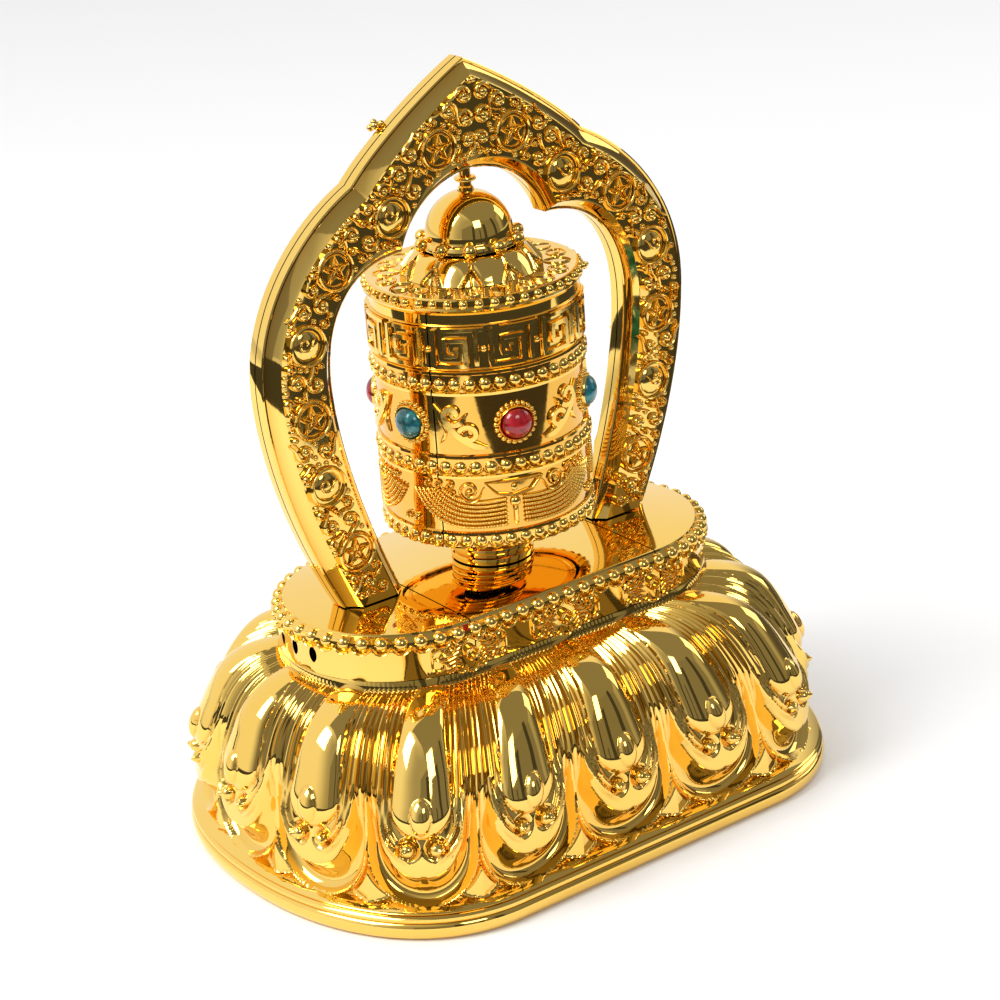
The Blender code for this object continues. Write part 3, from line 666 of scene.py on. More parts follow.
def lotus_base():
    """Domed skirt of sixteen petals with a roof ring under the pedestal."""
    columns = PETALS * PETAL_COLUMNS
    levels = 220
    angles = np.linspace(math.pi / 2.0, 0.0, levels)
    low = FOOT_HEIGHT + 0.3
    plan = []
    perimeters = []
    for angle in angles:
        share = math.sin(angle)
        height = max(LOTUS_CREST + (LOTUS_TOP - LOTUS_CREST) * math.cos(angle), low)
        _, around = oval_points(blend_ovals(1.0), FOOT_POWER, 8)
        _, here = oval_points(blend_ovals(share), plan_power(share), 8)
        shift = FIRST_PETAL_X * here / around
        plan.append(level_row(blend_ovals(share), plan_power(share), columns, height, shift))
        perimeters.append(here)
    base = np.array(plan)
    # Push the grid out along its own normals by the carving's height.
    along = np.roll(base, -1, axis=1) - np.roll(base, 1, axis=1)
    up = np.gradient(base, axis=0)
    normal = np.cross(along, up)
    normal /= np.maximum(np.linalg.norm(normal, axis=2), 1e-9)[:, :, None]
    normal[0] = normal[1]
    travel = np.linalg.norm(np.diff(base, axis=0), axis=2)
    rise = np.vstack([np.zeros((1, columns)), np.cumsum(travel, axis=0)])
    phase = (np.arange(columns) / PETAL_COLUMNS + 0.5) % 1.0 - 0.5
    pitch = np.array(perimeters)[:, None] / PETALS
    across = phase[None, :] * pitch
    half_pitch = np.broadcast_to(pitch / 2.0, across.shape)
    length = rise[-1][None, :]
    height = petal_relief(across, rise, half_pitch, length)
    outer_gap = rounded_end(np.abs(across), rise, half_pitch, 0.0, PETAL_NOSE)
    height += rear_row_relief(across, rise, half_pitch) * (1.0 - step_up(outer_gap + 0.4, 0.8))
    height -= LOTUS_SINK + LOTUS_CREST_DIP * step_up(rise - (length - 7.5), 13.0)
    height *= step_up(length - rise - 0.3, 0.6)
    carved = base + normal * height[:, :, None]
    carved[:, :, 2] = np.clip(carved[:, :, 2], low, LOTUS_TOP)
    rows = list(carved)
    shift = FIRST_PETAL_X * perimeters[-1] / perimeters[0]
    for distance, height in ((7.9, LOTUS_TOP), (8.0, LOTUS_TOP - SHELL), (2.2, LOTUS_TOP - SHELL)):
        rows.append(level_row(inset(blend_ovals(0.0), distance), 2.0, columns, height, shift))
    for share in (0.35, 0.7, 0.92, 1.0):
        height = LOTUS_CREST + (LOTUS_TOP - LOTUS_CREST - SHELL) * math.cos(math.asin(share))
        oval = inset(blend_ovals(share), 4.6)
        rows.append(level_row(oval, plan_power(share), columns, max(height, low), shift))
    shape = Shape()
    shape.add_rows(rows, ring=True)
    # Plain ledge between the petals' tips and the foot band.
    ledge = ((0.9, -0.28), (0.8, 0.0), (1.1, 0.3), (6.5, 0.8), (6.5, -0.28))
    rows = [level_row(inset(FOOT, out), FOOT_POWER, 480, low + lift) for out, lift in ledge]
    shape.add_rows(rows, ring=True)
    shape.make("lotus_petals", GOLD, "root", "gold", sharp=50.0, replaces=["lotus_base"])


# Pedestal -----------------------------------------------------------------------------------------

def pedestal_profile():
    """Half section: flat plate, rolled bead moulding, wall and hollow inside, as (distance out, height)."""
    profile = [(0.0, PLATE_Z), (PLATE_RADIUS - 0.3, PLATE_Z), (PLATE_RADIUS, PLATE_Z - 0.12)]
    profile += [(PLATE_RADIUS + 0.15, PLATE_Z - 0.5), (PLATE_RADIUS + 0.5, PLATE_Z - 0.7)]
    profile += [(PEDESTAL_RADIUS + 0.3, PLATE_Z - 1.3), (PEDESTAL_RADIUS + 0.45, PLATE_Z - 2.2)]
    profile += [(PEDESTAL_RADIUS + 0.1, PLATE_Z - 2.9), (PEDESTAL_RADIUS, PLATE_Z - 3.2)]
    profile += [(PEDESTAL_RADIUS, PEDESTAL_FOOT + 0.1), (PEDESTAL_RADIUS - 0.1, PEDESTAL_FOOT)]
    profile += [(PEDESTAL_RADIUS - SHELL, PEDESTAL_FOOT)]
    profile += [(PEDESTAL_RADIUS - SHELL, PLATE_Z - SHELL), (0.0, PLATE_Z - SHELL)]
    return profile


def wall_length():
    return 4.0 * PEDESTAL_STRAIGHT + 2.0 * math.pi * PEDESTAL_RADIUS


def wall_place(along, height, lift):
    """Point on the pedestal wall: along runs anticlockwise from the front middle."""
    total = wall_length()
    along = np.asarray(along, float) % total
    height = np.asarray(height, float)
    radius = PEDESTAL_RADIUS + np.asarray(lift, float)
    turn = math.pi * PEDESTAL_RADIUS
    s = PEDESTAL_STRAIGHT
    first = np.clip((along - s) / PEDESTAL_RADIUS, 0.0, math.pi)
    second = np.clip((along - 3 * s - turn) / PEDESTAL_RADIUS, 0.0, math.pi)
    angle = first + second - math.pi / 2.0
    middle = np.clip(along, 0.0, s) - np.clip(along - s - turn, 0.0, 2 * s)
    middle = middle + np.clip(along - 3 * s - 2 * turn, 0.0, s)
    return np.stack([middle + radius * np.cos(angle), radius * np.sin(angle), height + 0.0 * radius], -1)


def proud_wall_place(along, height, lift):
    return wall_place(along, height, lift + 0.3)


def add_beads_with_lips(shape, keep):
    """Round beads along the moulding, each in a scalloped cup."""
    pitch = wall_length() / BEAD_COUNT
    for index in range(BEAD_COUNT):
        along = pitch * index
        centre = wall_place(along, PLATE_Z - BEAD_RADIUS - 0.25, -0.3)
        if not keep(centre[0]):
            continue
        add_ball(shape, centre, BEAD_RADIUS)
        cup = arc_path((along, PLATE_Z - BEAD_RADIUS - 0.25), 1.75, 188.0, 164.0, 12)
        add_line(shape, proud_wall_place, cup, 0.55, 0.85, taper=0.7)


def cloud_relief(shape, middle):
    """Flame-edged cloud panel: streaming lines either side of a ring."""
    floor = CLOUD_Z
    place = wall_place
    outline = []
    lobes = 7
    for side in (1, -1):
        for lobe in range(lobes):
            share = (lobe + 0.5) / lobes
            u = middle + side * (1.0 - 2.0 * share) * 8.0
            v = floor + side * (2.7 - 1.9 * abs(1.0 - 2.0 * share))
            outline += list(arc_path((u, v), 1.15, 180.0 if side < 0 else 0.0, 180.0, 6))
    add_line(shape, place, outline, 0.55, 0.7, closed=True)
    add_line(shape, place, circle_path((middle, floor), 1.2), 0.6, 1.0, closed=True)
    for side in (-1, 1):
        for level in (-1.9, -0.95, 0.0, 0.95, 1.9):
            reach = 7.9 - 1.3 * abs(level)
            stream = []
            for share in np.linspace(0.0, 1.0, 16):
                u = middle + side * (2.1 + (reach - 2.1) * share)
                wave = 0.22 * math.sin(9.0 * share + level)
                stream.append((u, floor + level * (1.0 - 0.45 * share * share) + wave))
            add_line(shape, place, stream, 0.6, 0.6)


def pedestal_middle():
    """Middle third of the pedestal, drilled for the lower bush."""
    half = pedestal_profile()[1:-1]
    outline = [(-out, height) for out, height in half] + [(out, height) for out, height in reversed(half)]
    reach = PEDESTAL_STRAIGHT - SEAM / 2.0
    shape = Shape()
    shape.add_rows([[(x, y, z) for y, z in outline] for x in np.linspace(-reach, reach, 24)])
    middle = shape.make("pedestal_middle_panel", GOLD, "root", "gold", replaces=["pedestal_middle"])
    cut(middle, [cylinder("bush_hole", BORE_RADIUS, 45.0, 55.0, (0.0, 0.0))])


def pedestal_end(name, side):
    """Half-round end of the pedestal."""
    start = -90.0 if side > 0 else 90.0
    centre = (side * (PEDESTAL_STRAIGHT + SEAM / 2.0), 0.0)
    shape = Shape()
    add_turned(shape, pedestal_profile(), 60, start, 180.0, centre)
    return shape.make(name + "_wall", GOLD, "root", "gold", replaces=[name])


def vent_cutters():
    """Three upright lens-shaped vents in the left end wall."""
    cutters = []
    for degrees in VENT_ANGLES:
        angle = math.radians(degrees)
        across = np.array([math.cos(angle), math.sin(angle), 0.0])
        along = np.array([-across[1], across[0], 0.0])
        middle = np.array([-PEDESTAL_STRAIGHT, 0.0, VENT_Z])
        rows = []
        for out in (PEDESTAL_RADIUS - 4.0, PEDESTAL_RADIUS + 3.0):
            turns = np.linspace(0.0, 2.0 * math.pi, 28, endpoint=False)
            slim = np.sign(np.cos(turns)) * np.abs(np.cos(turns)) ** 1.3
            tall = np.outer(VENT_HALF_HEIGHT * np.sin(turns), (0, 0, 1))
            rows.append(middle + across * out + np.outer(slim, along) + tall)
        shape = Shape()
        shape.add_rows(rows)
        cutters.append(shape.make("vent_cutter", GOLD, "root", "gold"))
    return cutters


def pedestal_trim():
    """Beads and cups all round, and cloud panels on the front and rear walls."""
    shape = Shape()
    add_beads_with_lips(shape, lambda point: abs(point) < PEDESTAL_STRAIGHT)
    shape.make("pedestal_beads_middle", GOLD, "root", "gold")
    for name, side in (("pedestal_beads_left", -1), ("pedestal_beads_right", 1)):
        shape = Shape()
        add_beads_with_lips(shape, lambda point, side=side: side * point >= PEDESTAL_STRAIGHT)
        shape.make(name, GOLD, "root", "gold")
    shape = Shape()
    rear = wall_length() / 2.0
    for centre in CLOUD_CENTRES:
        cloud_relief(shape, centre)
        cloud_relief(shape, rear - centre)
    shape.make("pedestal_clouds", GOLD_RELIEF, "root", "gold")


# Hatch and bearing --------------------------------------------------------------------------------

def scent_hatch():
    """Round moulded hatch: bevelled edge, ring groove, coin slot and a row of finger dimples."""
    centre, radius, face, top = round_box(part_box("scent_hatch"))
    profile = [(0.01, face), (radius - 2.2, face), (radius - 2.0, face + 0.3), (radius - 1.6, face + 0.3),
               (radius - 1.4, face), (radius - 0.4, face), (radius, face + 0.4), (radius, top), (0.01, top)]
    shape = Shape()
    add_turned(shape, profile, 96, centre=centre)
    hatch = shape.make("scent_hatch_moulded", BLACK_PLASTIC, "hatch", "black_plastic",
                       replaces=["scent_hatch"])
    slot = Shape()
    corners = [(-6.0, -0.8), (6.0, -0.8), (6.0, 0.8), (-6.0, 0.8)]
    slot.add_rows([[(centre[0] + x, y, z) for x, y in corners] for z in (face - 1.0, face + 0.9)])
    cutters = [slot.make("coin_slot", GOLD, "hatch", "gold")]
    for index in range(12):
        angle = 2.0 * math.pi * (index + 0.5) / 12
        place = (centre[0] + (radius - 3.6) * math.cos(angle), (radius - 3.6) * math.sin(angle))
        if abs(place[1]) > 1.8:
            cutters.append(cylinder("dimple", 0.6, face - 1.0, face + 0.35, place, 20))
    cut(hatch, cutters)


def drum_floor():
    """Drum's floor seen from below: ring grooves and a boss round the spindle."""
    _, edge, base, top = round_box(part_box("drum_floor"))
    profile = [(1.6, base), (4.5, base), (4.7, base + 0.25), (5.2, base + 0.25), (5.4, base)]
    profile += [(edge - 2.0, base), (edge - 1.8, base + 0.25), (edge - 1.3, base + 0.25), (edge - 1.1, base)]
    profile += [(edge - 0.3, base), (edge, base + 0.3), (edge, base + SHELL), (3.6, base + SHELL)]
    profile += [(3.4, base + SHELL + 0.3), (3.4, top - 0.2), (3.2, top), (1.6, top)]
    shape = Shape()
    add_turned(shape, profile, 96)
    shape.make("drum_floor_turned", GOLD, "drum", "gold", replaces=["drum_floor"])


def bevelled_ring(node, finish, slot, bore):
    """Turned ring with bevelled corners in place of a plain CAD one."""
    _, radius, base, top = round_box(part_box(node))
    bevel = min(0.2, (top - base) / 4.0)
    profile = [(bore, base), (radius - bevel, base), (radius, base + bevel), (radius, top - bevel),
               (radius - bevel, top), (bore, top)]
    shape = Shape()
    add_turned(shape, profile, 64)
    shape.make(node + "_turned", finish, "root", slot, replaces=[node])


# Arch ---------------------------------------------------------------------------------------------

# Right half of the arch as (x, z) Bezier stretches: leg, shoulder and crown.
ARCH_OUTER = (
    ((37.2, 51.6), (44.5, 65.8), (50.2, 83.0), (50.2, 98.0)),
    ((50.2, 98.0), (50.2, 114.0), (38.7, 126.7), (27.0, 132.4)),
    ((27.0, 132.4), (21.0, 139.0), (8.1, 147.2), (0.0, 151.2)),
)
ARCH_INNER = (
    ((23.6, 51.6), (29.7, 66.3), (35.0, 84.0), (35.0, 97.0)),
    ((35.0, 97.0), (35.0, 110.5), (27.5, 118.0), (17.0, 117.7)),
    ((17.0, 117.7), (14.8, 124.5), (8.0, 130.0), (0.0, 130.0)),
)
ARCH_STEPS = (34, 26, 24)
# Medallions on the right half, from the apex down.
MEDALLIONS = (
    (8.57, 135.85), (20.03, 125.46), (33.4, 118.57), (40.84, 105.93), (41.43, 91.64), (39.4, 77.88),
    (34.52, 63.19),
)


def bezier(controls, share):
    rest = 1.0 - share
    weights = (rest ** 3, 3 * rest * rest * share, 3 * rest * share * share, share ** 3)
    return np.array(weights) @ np.array(controls)


def half_arch_stations():
    """Pairs of outer and inner edge points from the right foot up to the apex."""
    stations = []
    for outer, inner, steps in zip(ARCH_OUTER, ARCH_INNER, ARCH_STEPS):
        for step in range(steps):
            stations.append((bezier(outer, step / steps), bezier(inner, step / steps)))
    stations.append((np.array(ARCH_OUTER[-1][-1]), np.array(ARCH_INNER[-1][-1])))
    return stations


def arch_stations():
    right = half_arch_stations()
    left = [(outer * [-1, 1], inner * [-1, 1]) for outer, inner in right[:-1]]
    return left + right[::-1]


def arch_section(outer, inner, side):
    """Channel section across the band with a rim line, dished borders and a flat face."""
    across = inner - outer
    width = np.linalg.norm(across)
    across = across / width
    seam = SEAM / 2.0
    face = ARCH_FACE_Y - 0.25
    inner_start = width - ARCH_INNER_BORDER
    outline = [
        (0.0, seam), (0.0, ARCH_EDGE_Y - 0.45), (0.05, ARCH_EDGE_Y - 0.1), (0.3, ARCH_EDGE_Y + 0.1),
        (0.6, ARCH_EDGE_Y + 0.05), (0.75, ARCH_EDGE_Y - 0.05), (1.4, ARCH_EDGE_Y + 0.45),
        (2.2, ARCH_EDGE_Y + 1.25), (2.75, face - 0.25), (ARCH_BORDER, face + 0.1), (ARCH_BORDER + 0.35, face),
        (inner_start - 0.35, face), (inner_start, face + 0.1), (inner_start + 0.25, face - 0.2),
        (inner_start + 0.9, ARCH_EDGE_Y + 1.1), (inner_start + 1.5, ARCH_EDGE_Y + 0.4),
        (width - 0.6, ARCH_EDGE_Y + 0.05), (width - 0.3, ARCH_EDGE_Y + 0.1),
        (width - 0.05, ARCH_EDGE_Y - 0.1), (width, ARCH_EDGE_Y - 0.45), (width, seam),
        (width - ARCH_SHELL, seam), (width - ARCH_SHELL, 2.0), (ARCH_SHELL, 2.0), (ARCH_SHELL, seam),
    ]
    points = []
    for distance, depth in outline:
        x, z = outer + across * distance
        points.append((x, side * depth, z))
    return points


def arch_place(side, mirror=1.0):
    """Lays flat (x, z) ornament on one face of the arch."""
    def place(x, z, lift):
        x, z, lift = np.broadcast_arrays(x, z, lift)
        return np.stack([mirror * x, side * (ARCH_FACE_Y - 0.3 + lift), z + 0.0 * lift], -1)
    return place


def star_medallion(shape, place, centre):
    """Five-pointed star with ridged arms in a double ring."""
    add_line(shape, place, circle_path(centre, MEDALLION_RADIUS - 0.35), 0.75, 1.0, closed=True)
    add_line(shape, place, circle_path(centre, MEDALLION_RADIUS - 1.15), 0.35, 0.55, closed=True)
    tips = list(circle_path(centre, 2.75, 5, 90.0))
    notches = list(circle_path(centre, 1.15, 5, 126.0))
    outline = []
    for tip, notch, after in zip(tips, notches, tips[1:] + tips[:1]):
        outline += [tip * (1 - s) + notch * s for s in (0.0, 0.35, 0.7)]
        outline += [notch * (1 - s) + after * s for s in (0.0, 0.35, 0.7)]
    add_line(shape, place, outline, 0.42, 0.75, closed=True)
    for tip in tips:
        arm = [np.array(centre) * (1 - s) + tip * s for s in np.linspace(0.0, 0.85, 6)]
        add_line(shape, place, arm, 0.4, 0.6)


def swirl_medallion(shape, place, centre, hand):
    """Dished disc with a curl in a ring."""
    add_line(shape, place, circle_path(centre, MEDALLION_RADIUS - 0.35), 0.75, 1.0, closed=True)
    add_pearl(shape, place, centre[0], centre[1], 3.0, 0.8)


    def bowl(u, v, lift):
        away = (u - centre[0]) ** 2 + (v - centre[1]) ** 2
        return place(u, v, lift + 0.8 * np.sqrt(np.clip(1.0 - away / 9.2, 0.0, 1.0)) - 0.1)

    curl = spiral_path((centre[0] + 0.7 * hand, centre[1] + 0.6), 1.5, 200.0, 1.1, 1.6, hand)
    add_line(shape, bowl, curl, 0.55, 0.5)


def vine_spots(seed):
    """Packed (x, z, radius) places for curls and pearls round the medallions on the right half."""
    chooser = random.Random(seed)
    stations = half_arch_stations()
    spots = []
    for radius, tries in ((2.2, 3000), (1.7, 6000), (1.25, 9000), (0.9, 9000), (0.55, 9000)):
        for _ in range(tries):
            position = chooser.uniform(1.5, len(stations) - 1.001)
            index = int(position)
            share = position - index
            outer = stations[index][0] * (1 - share) + stations[min(index + 1, len(stations) - 1)][0] * share
            inner = stations[index][1] * (1 - share) + stations[min(index + 1, len(stations) - 1)][1] * share
            width = np.linalg.norm(inner - outer)
            low = ARCH_BORDER - 0.05 + radius
            high = width - ARCH_INNER_BORDER - 0.25 - radius
            if high < low:
                continue
            x, z = outer + (inner - outer) / width * chooser.uniform(low, high)
            if x < radius * 0.6 or z - radius < 53.0:
                continue
            if any(math.hypot(x - a, z - b) < MEDALLION_RADIUS + radius - 0.15 for a, b in MEDALLIONS):
                continue
            if any(math.hypot(x - a, z - b) < (r + radius) * 0.94 for a, b, r in spots):
                continue
            spots.append((x, z, radius))
    return spots


def add_vines(shape, place, spots, seed):
    """Curls whose tails reach to their nearest neighbour, with pearls in the gaps."""
    chooser = random.Random(seed)
    for x, z, radius in spots:
        if radius < 0.7:
            add_pearl(shape, place, x, z, radius * 1.05, 0.35 + radius * 0.6)
            continue
        others = [spot for spot in spots if spot[2] >= 0.7 and spot[:2] != (x, z)]
        near = min(others, key=lambda spot: math.hypot(spot[0] - x, spot[1] - z))
        hand = chooser.choice((-1, 1))
        heading = math.degrees(math.atan2(near[1] - z, near[0] - x)) + hand * 70.0
        add_volute(shape, place, (x, z), radius, heading, hand, 0.6 + radius)


def arch_half(name, replaced, side):
    """Front or rear channel of the arch with its vines and medallions."""
    shape = Shape()
    shape.add_rows([arch_section(outer, inner, side) for outer, inner in arch_stations()])
    shell = shape.make(name, GOLD, "root", "gold", sharp=40.0, replaces=[replaced])
    cut(shell, [cylinder("pin_hole", PIN_HOLE_RADIUS, 125.0, 134.0, (0.0, 0.0))])
    spots = vine_spots(5)
    ornament = Shape()
    for mirror in (1.0, -1.0):
        place = arch_place(side, mirror)
        add_vines(ornament, place, spots, 11)
        for index, centre in enumerate(MEDALLIONS):
            if index % 2 == 0:
                star_medallion(ornament, place, centre)
            else:
                swirl_medallion(ornament, place, centre, 1)
    ornament.make(replaced + "_ornament", GOLD_RELIEF, "root", "gold", sharp=50.0)


# Drum ---------------------------------------------------------------------------------------------

def drum_place(u, v, lift):
    """Flat ornament wrapped round the drum: u is the arc length from the +X side."""
    u, v, lift = np.broadcast_arrays(u, v, lift)
    angle = u / DRUM_RADIUS
    radius = DRUM_RADIUS + lift
    return np.stack([radius * np.cos(angle), radius * np.sin(angle), v + 0.0 * lift], -1)


def drum_profile():
    """Wall section with raised fillets either side of each bead row, from the top down."""
    profile = [(DRUM_RADIUS - 0.3, DRUM_TOP), (DRUM_RADIUS, DRUM_TOP - 0.3)]
    for high, low in BEAD_CHANNELS:
        for rise, out in ((0.25, 0.0), (0.05, 0.45), (-0.45, 0.5), (-0.7, 0.2)):
            profile.append((DRUM_RADIUS + out, high + rise))
        if low > DRUM_BOTTOM + 5.0:
            for rise, out in ((0.7, 0.2), (0.45, 0.5), (-0.05, 0.45), (-0.25, 0.0)):
                profile.append((DRUM_RADIUS + out, low + rise))
    profile += [(DRUM_RADIUS + 0.2, DRUM_BOTTOM + 0.5), (DRUM_RADIUS - 0.2, DRUM_BOTTOM)]
    profile += [(DRUM_RADIUS - 1.6, DRUM_BOTTOM), (DRUM_RADIUS - 1.6, DRUM_TOP)]
    return profile


def drum_shells():
    """Two half shells that part at the seam."""
    seam = math.degrees(0.15 / DRUM_RADIUS)
    for name, start in (("drum_shell_front", SEAM_ANGLE), ("drum_shell_rear", SEAM_ANGLE + 180.0)):
        shape = Shape()
        add_turned(shape, drum_profile(), 120, start + seam, 180.0 - 2 * seam)
        shape.make(name + "_wall", GOLD, "drum", "gold", replaces=[name])


def bead_row(shape, height, count, radius, lift):
    """Beads round the drum with a scalloped lip under each."""
    pitch = 2.0 * math.pi * DRUM_RADIUS / count
    for index in range(count):
        u = pitch * index
        add_ball(shape, drum_place(u, height, lift), radius)
        cup = arc_path((u, height), radius + 0.22, 190.0, 160.0, 9)
        add_line(shape, drum_place, cup, 0.36, 0.8, taper=0.7)


def fret_band(shape):
    """Running key pattern with a bar between repeats."""
    pitch = 2.0 * math.pi * DRUM_RADIUS / FRET_REPEATS
    for index in range(FRET_REPEATS):
        left = pitch * index

        def at(x, y):
            return (left + x * pitch, FRET_LOW + y * FRET_HEIGHT)

        outer = [at(0.06, 1.0), at(0.06, 0.02), at(0.62, 0.02), at(0.62, 0.72),
                 at(0.26, 0.72), at(0.26, 0.30), at(0.44, 0.30), at(0.44, 0.48)]
        bar = [at(0.80, 0.02), at(0.80, 1.0)]
        hook = [at(0.22, 1.0), at(0.94, 1.0)]
        for path, width in ((outer, 1.15), (bar, 1.15), (hook, 1.0)):
            add_line(shape, drum_place, dense(path), width, 0.9, section=FLAT_LINE, taper=0.9)
        add_pearl(shape, drum_place, *at(0.93, 0.45), 0.62, 0.75)
    for height in (105.3, 96.75):
        add_ring_line(shape, height, 0.35, 0.4)


def dense(points, spacing=0.5):
    """Polyline with doubled corner points and short runs, so corners stay square."""
    made = []
    for first, second in zip(points, points[1:]):
        first = np.array(first, float)
        second = np.array(second, float)
        count = max(2, int(np.linalg.norm(second - first) / spacing))
        made += [first + (second - first) * share for share in np.linspace(0.0, 1.0, count)[:-1]]
    made.append(np.array(points[-1], float))
    return made


def add_ring_line(shape, height, width, lift):
    """Raised line all the way round the drum."""
    steps = 180
    u = np.arange(steps) * 2.0 * math.pi * DRUM_RADIUS / steps
    rows = [drum_place(a, height + np.array([c[0] for c in ROUND_LINE]) * width / 2.0,
                       np.array([c[1] for c in ROUND_LINE]) * lift) for a in u]
    shape.add_rows(rows, ring=True)


def stone_arc(index):
    return math.radians(FIRST_STONE_ANGLE + 60.0 * index) * DRUM_RADIUS


def flourish_band(shape):
    """A leaf scroll in each space between two stones."""
    for index in range(6):
        middle = stone_arc(index) + math.radians(30.0) * DRUM_RADIUS
        hand = 1 if index % 2 == 0 else -1
        z = STONE_Z + 0.4
        for aside, rise, radius, first, width in ((1.3, 2.1, 2.3, 200.0, 1.3), (-1.6, -1.9, 1.9, 20.0, 1.2)):
            start = first if hand > 0 else 180.0 - first
            centre = (middle + aside * hand, z + rise)
            path = spiral_path(centre, radius, start, 1.1, 1.0, hand, 26)
            add_line(shape, drum_place, path, width, 0.9, section=FLAT_LINE)
        stem = [(middle - 5.0 * hand + 10.0 * hand * s, z - 4.6 + 8.6 * s * s)
                for s in np.linspace(0.0, 1.0, 18)]
        add_line(shape, drum_place, stem, 1.6, 0.9, section=FLAT_LINE, taper=0.3)
        leaf = [(middle + 4.2 * hand - 1.2 * hand * math.sin(math.pi * s), z - 3.9 + 4.6 * s)
                for s in np.linspace(0.0, 1.0, 12)]
        add_line(shape, drum_place, leaf, 0.9, 0.6, taper=0.1)


def bezels(shape):
    """Plain ring and a row of small pearls round each stone."""
    for index in range(6):
        u = stone_arc(index)
        add_line(shape, drum_place, circle_path((u, STONE_Z), STONE_RADIUS + 0.25), 0.55, 1.1, closed=True)
        for bead in range(22):
            angle = 2.0 * math.pi * bead / 22
            reach = STONE_RADIUS + 0.85
            side, rise = reach * math.cos(angle), reach * math.sin(angle)
            add_pearl(shape, drum_place, u + side, STONE_Z + rise, 0.5, 0.7)


def feather_band(shape):
    """Three repeats of paired wings of beaded arcs, with a spiral roundel and a brow panel about a stem."""
    pitch = 2.0 * math.pi * DRUM_RADIUS / FEATHER_REPEATS
    for index in range(FEATHER_REPEATS):
        middle = math.radians(FEATHER_ANGLE) * DRUM_RADIUS + pitch * index
        stem = [(middle, 64.9 + 4.2 * s) for s in np.linspace(0.0, 1.0, 8)]
        add_line(shape, drum_place, stem, 1.1, 0.9)
        add_pearl(shape, drum_place, middle, 69.6, 1.1, 0.9)
        panel = [(middle - 5.6, 73.9), (middle + 5.6, 73.9), (middle + 3.4, 71.6), (middle, 70.9),
                 (middle - 3.4, 71.6), (middle - 5.6, 73.9)]
        add_line(shape, drum_place, dense(panel), 0.7, 0.8)
        add_pearl(shape, drum_place, middle, 72.5, 0.9, 0.6, stretch=0.7)
        for side in (-1, 1):
            feather_wing(shape, middle, side)


def feather_wing(shape, middle, side):
    """Nested beaded arcs that sweep out and up, a roundel above them and curls at their ends."""
    for rib in range(7):
        reach = 20.0 - 1.0 * rib
        path = []
        for s in np.linspace(0.0, 1.0, 34):
            u = middle + side * (1.5 + (reach - 1.5) * s)
            v = 65.3 + 0.85 * rib - 0.4 * math.sin(math.pi * s) + (7.0 - 0.75 * rib) * s ** 4.5
            path.append((u, v))
        add_line(shape, drum_place, path, 0.6, 0.7, taper=0.4)
        for u, v in path[1:-1]:
            add_pearl(shape, drum_place, u, v, 0.36, 0.85)
    eye = (middle + side * 8.6, 72.3)
    add_line(shape, drum_place, spiral_path(eye, 2.3, 90.0 + side * 100.0, 1.6, 1.2, side, 34), 0.65, 0.85)
    add_pearl(shape, drum_place, eye[0], eye[1], 0.6, 0.9)
    for reach, level, size in ((12.4, 73.4, 1.0), (14.8, 73.6, 0.9), (17.0, 73.7, 0.9), (12.0, 71.7, 0.7),
                               (20.2, 66.0, 0.8)):
        centre = (middle + side * reach, level)
        add_line(shape, drum_place, spiral_path(centre, size, 90.0, 1.2, 0.6, side), 0.4, 0.7)


def drum_ornament():
    shape = Shape()
    fret_band(shape)
    flourish_band(shape)
    bezels(shape)
    feather_band(shape)
    shape.make("drum_ornament", GOLD_RELIEF, "drum", "gold", sharp=50.0)
    shape = Shape()
    for height, radius, lift in BEAD_ROWS:
        bead_row(shape, height, DRUM_BEADS, radius, lift)
    shape.make("drum_beads", GOLD, "drum", "gold")


def drum_lid():
    """Lid with a beaded edge, rings and leaves on its top."""
    low = DRUM_TOP + 0.3
    profile = [
        (1.6, LID_TOP), (LID_RADIUS - 1.3, LID_TOP), (LID_RADIUS - 0.95, LID_TOP + 0.1),
        (LID_RADIUS - 0.6, LID_TOP),
        (LID_RADIUS - 0.5, LID_TOP - 0.5), (LID_RADIUS - 0.5, low + 1.1), (LID_RADIUS - 0.1, low + 0.9),
        (LID_RADIUS + 0.05, low + 0.5), (LID_RADIUS - 0.2, low + 0.1), (LID_RADIUS - 0.7, low),
        (18.2, low), (18.2, low - 2.0), (16.6, low - 2.0), (16.6, low + 0.7), (1.6, low + 0.7),
    ]
    shape = Shape()
    add_turned(shape, profile, 160)
    add_ball_ring(shape, DRUM_BEADS, LID_RADIUS - 0.55, LID_TOP - 1.0, 0.92)

    def place(u, v, lift):
        u, v, lift = np.broadcast_arrays(u, v, lift)
        return np.stack([u, v, LID_TOP + lift], -1)
    for index in range(COLLAR_POINTS):
        angle = math.radians(36.0 * index + 18.0)
        middle = (17.1 * math.cos(angle), 17.1 * math.sin(angle))
        add_line(shape, place, circle_path(middle, 1.9, 24), 0.4, 0.28, closed=True)
        add_pearl(shape, place, middle[0], middle[1], 0.8, 0.3)
        for spread in (-1, 1):
            turn = angle + spread * 0.2 + 0.1 * spread
            path = [((13.6 + 5.4 * s) * math.cos(turn - spread * 0.10 * math.sin(math.pi * s)),
                     (13.6 + 5.4 * s) * math.sin(turn - spread * 0.10 * math.sin(math.pi * s)))
                    for s in np.linspace(0.0, 1.0, 10)]
            add_line(shape, place, path, 0.5, 0.3, taper=0.15)
    shape.make("drum_lid_top", GOLD, "drum", "gold", replaces=["drum_lid"])


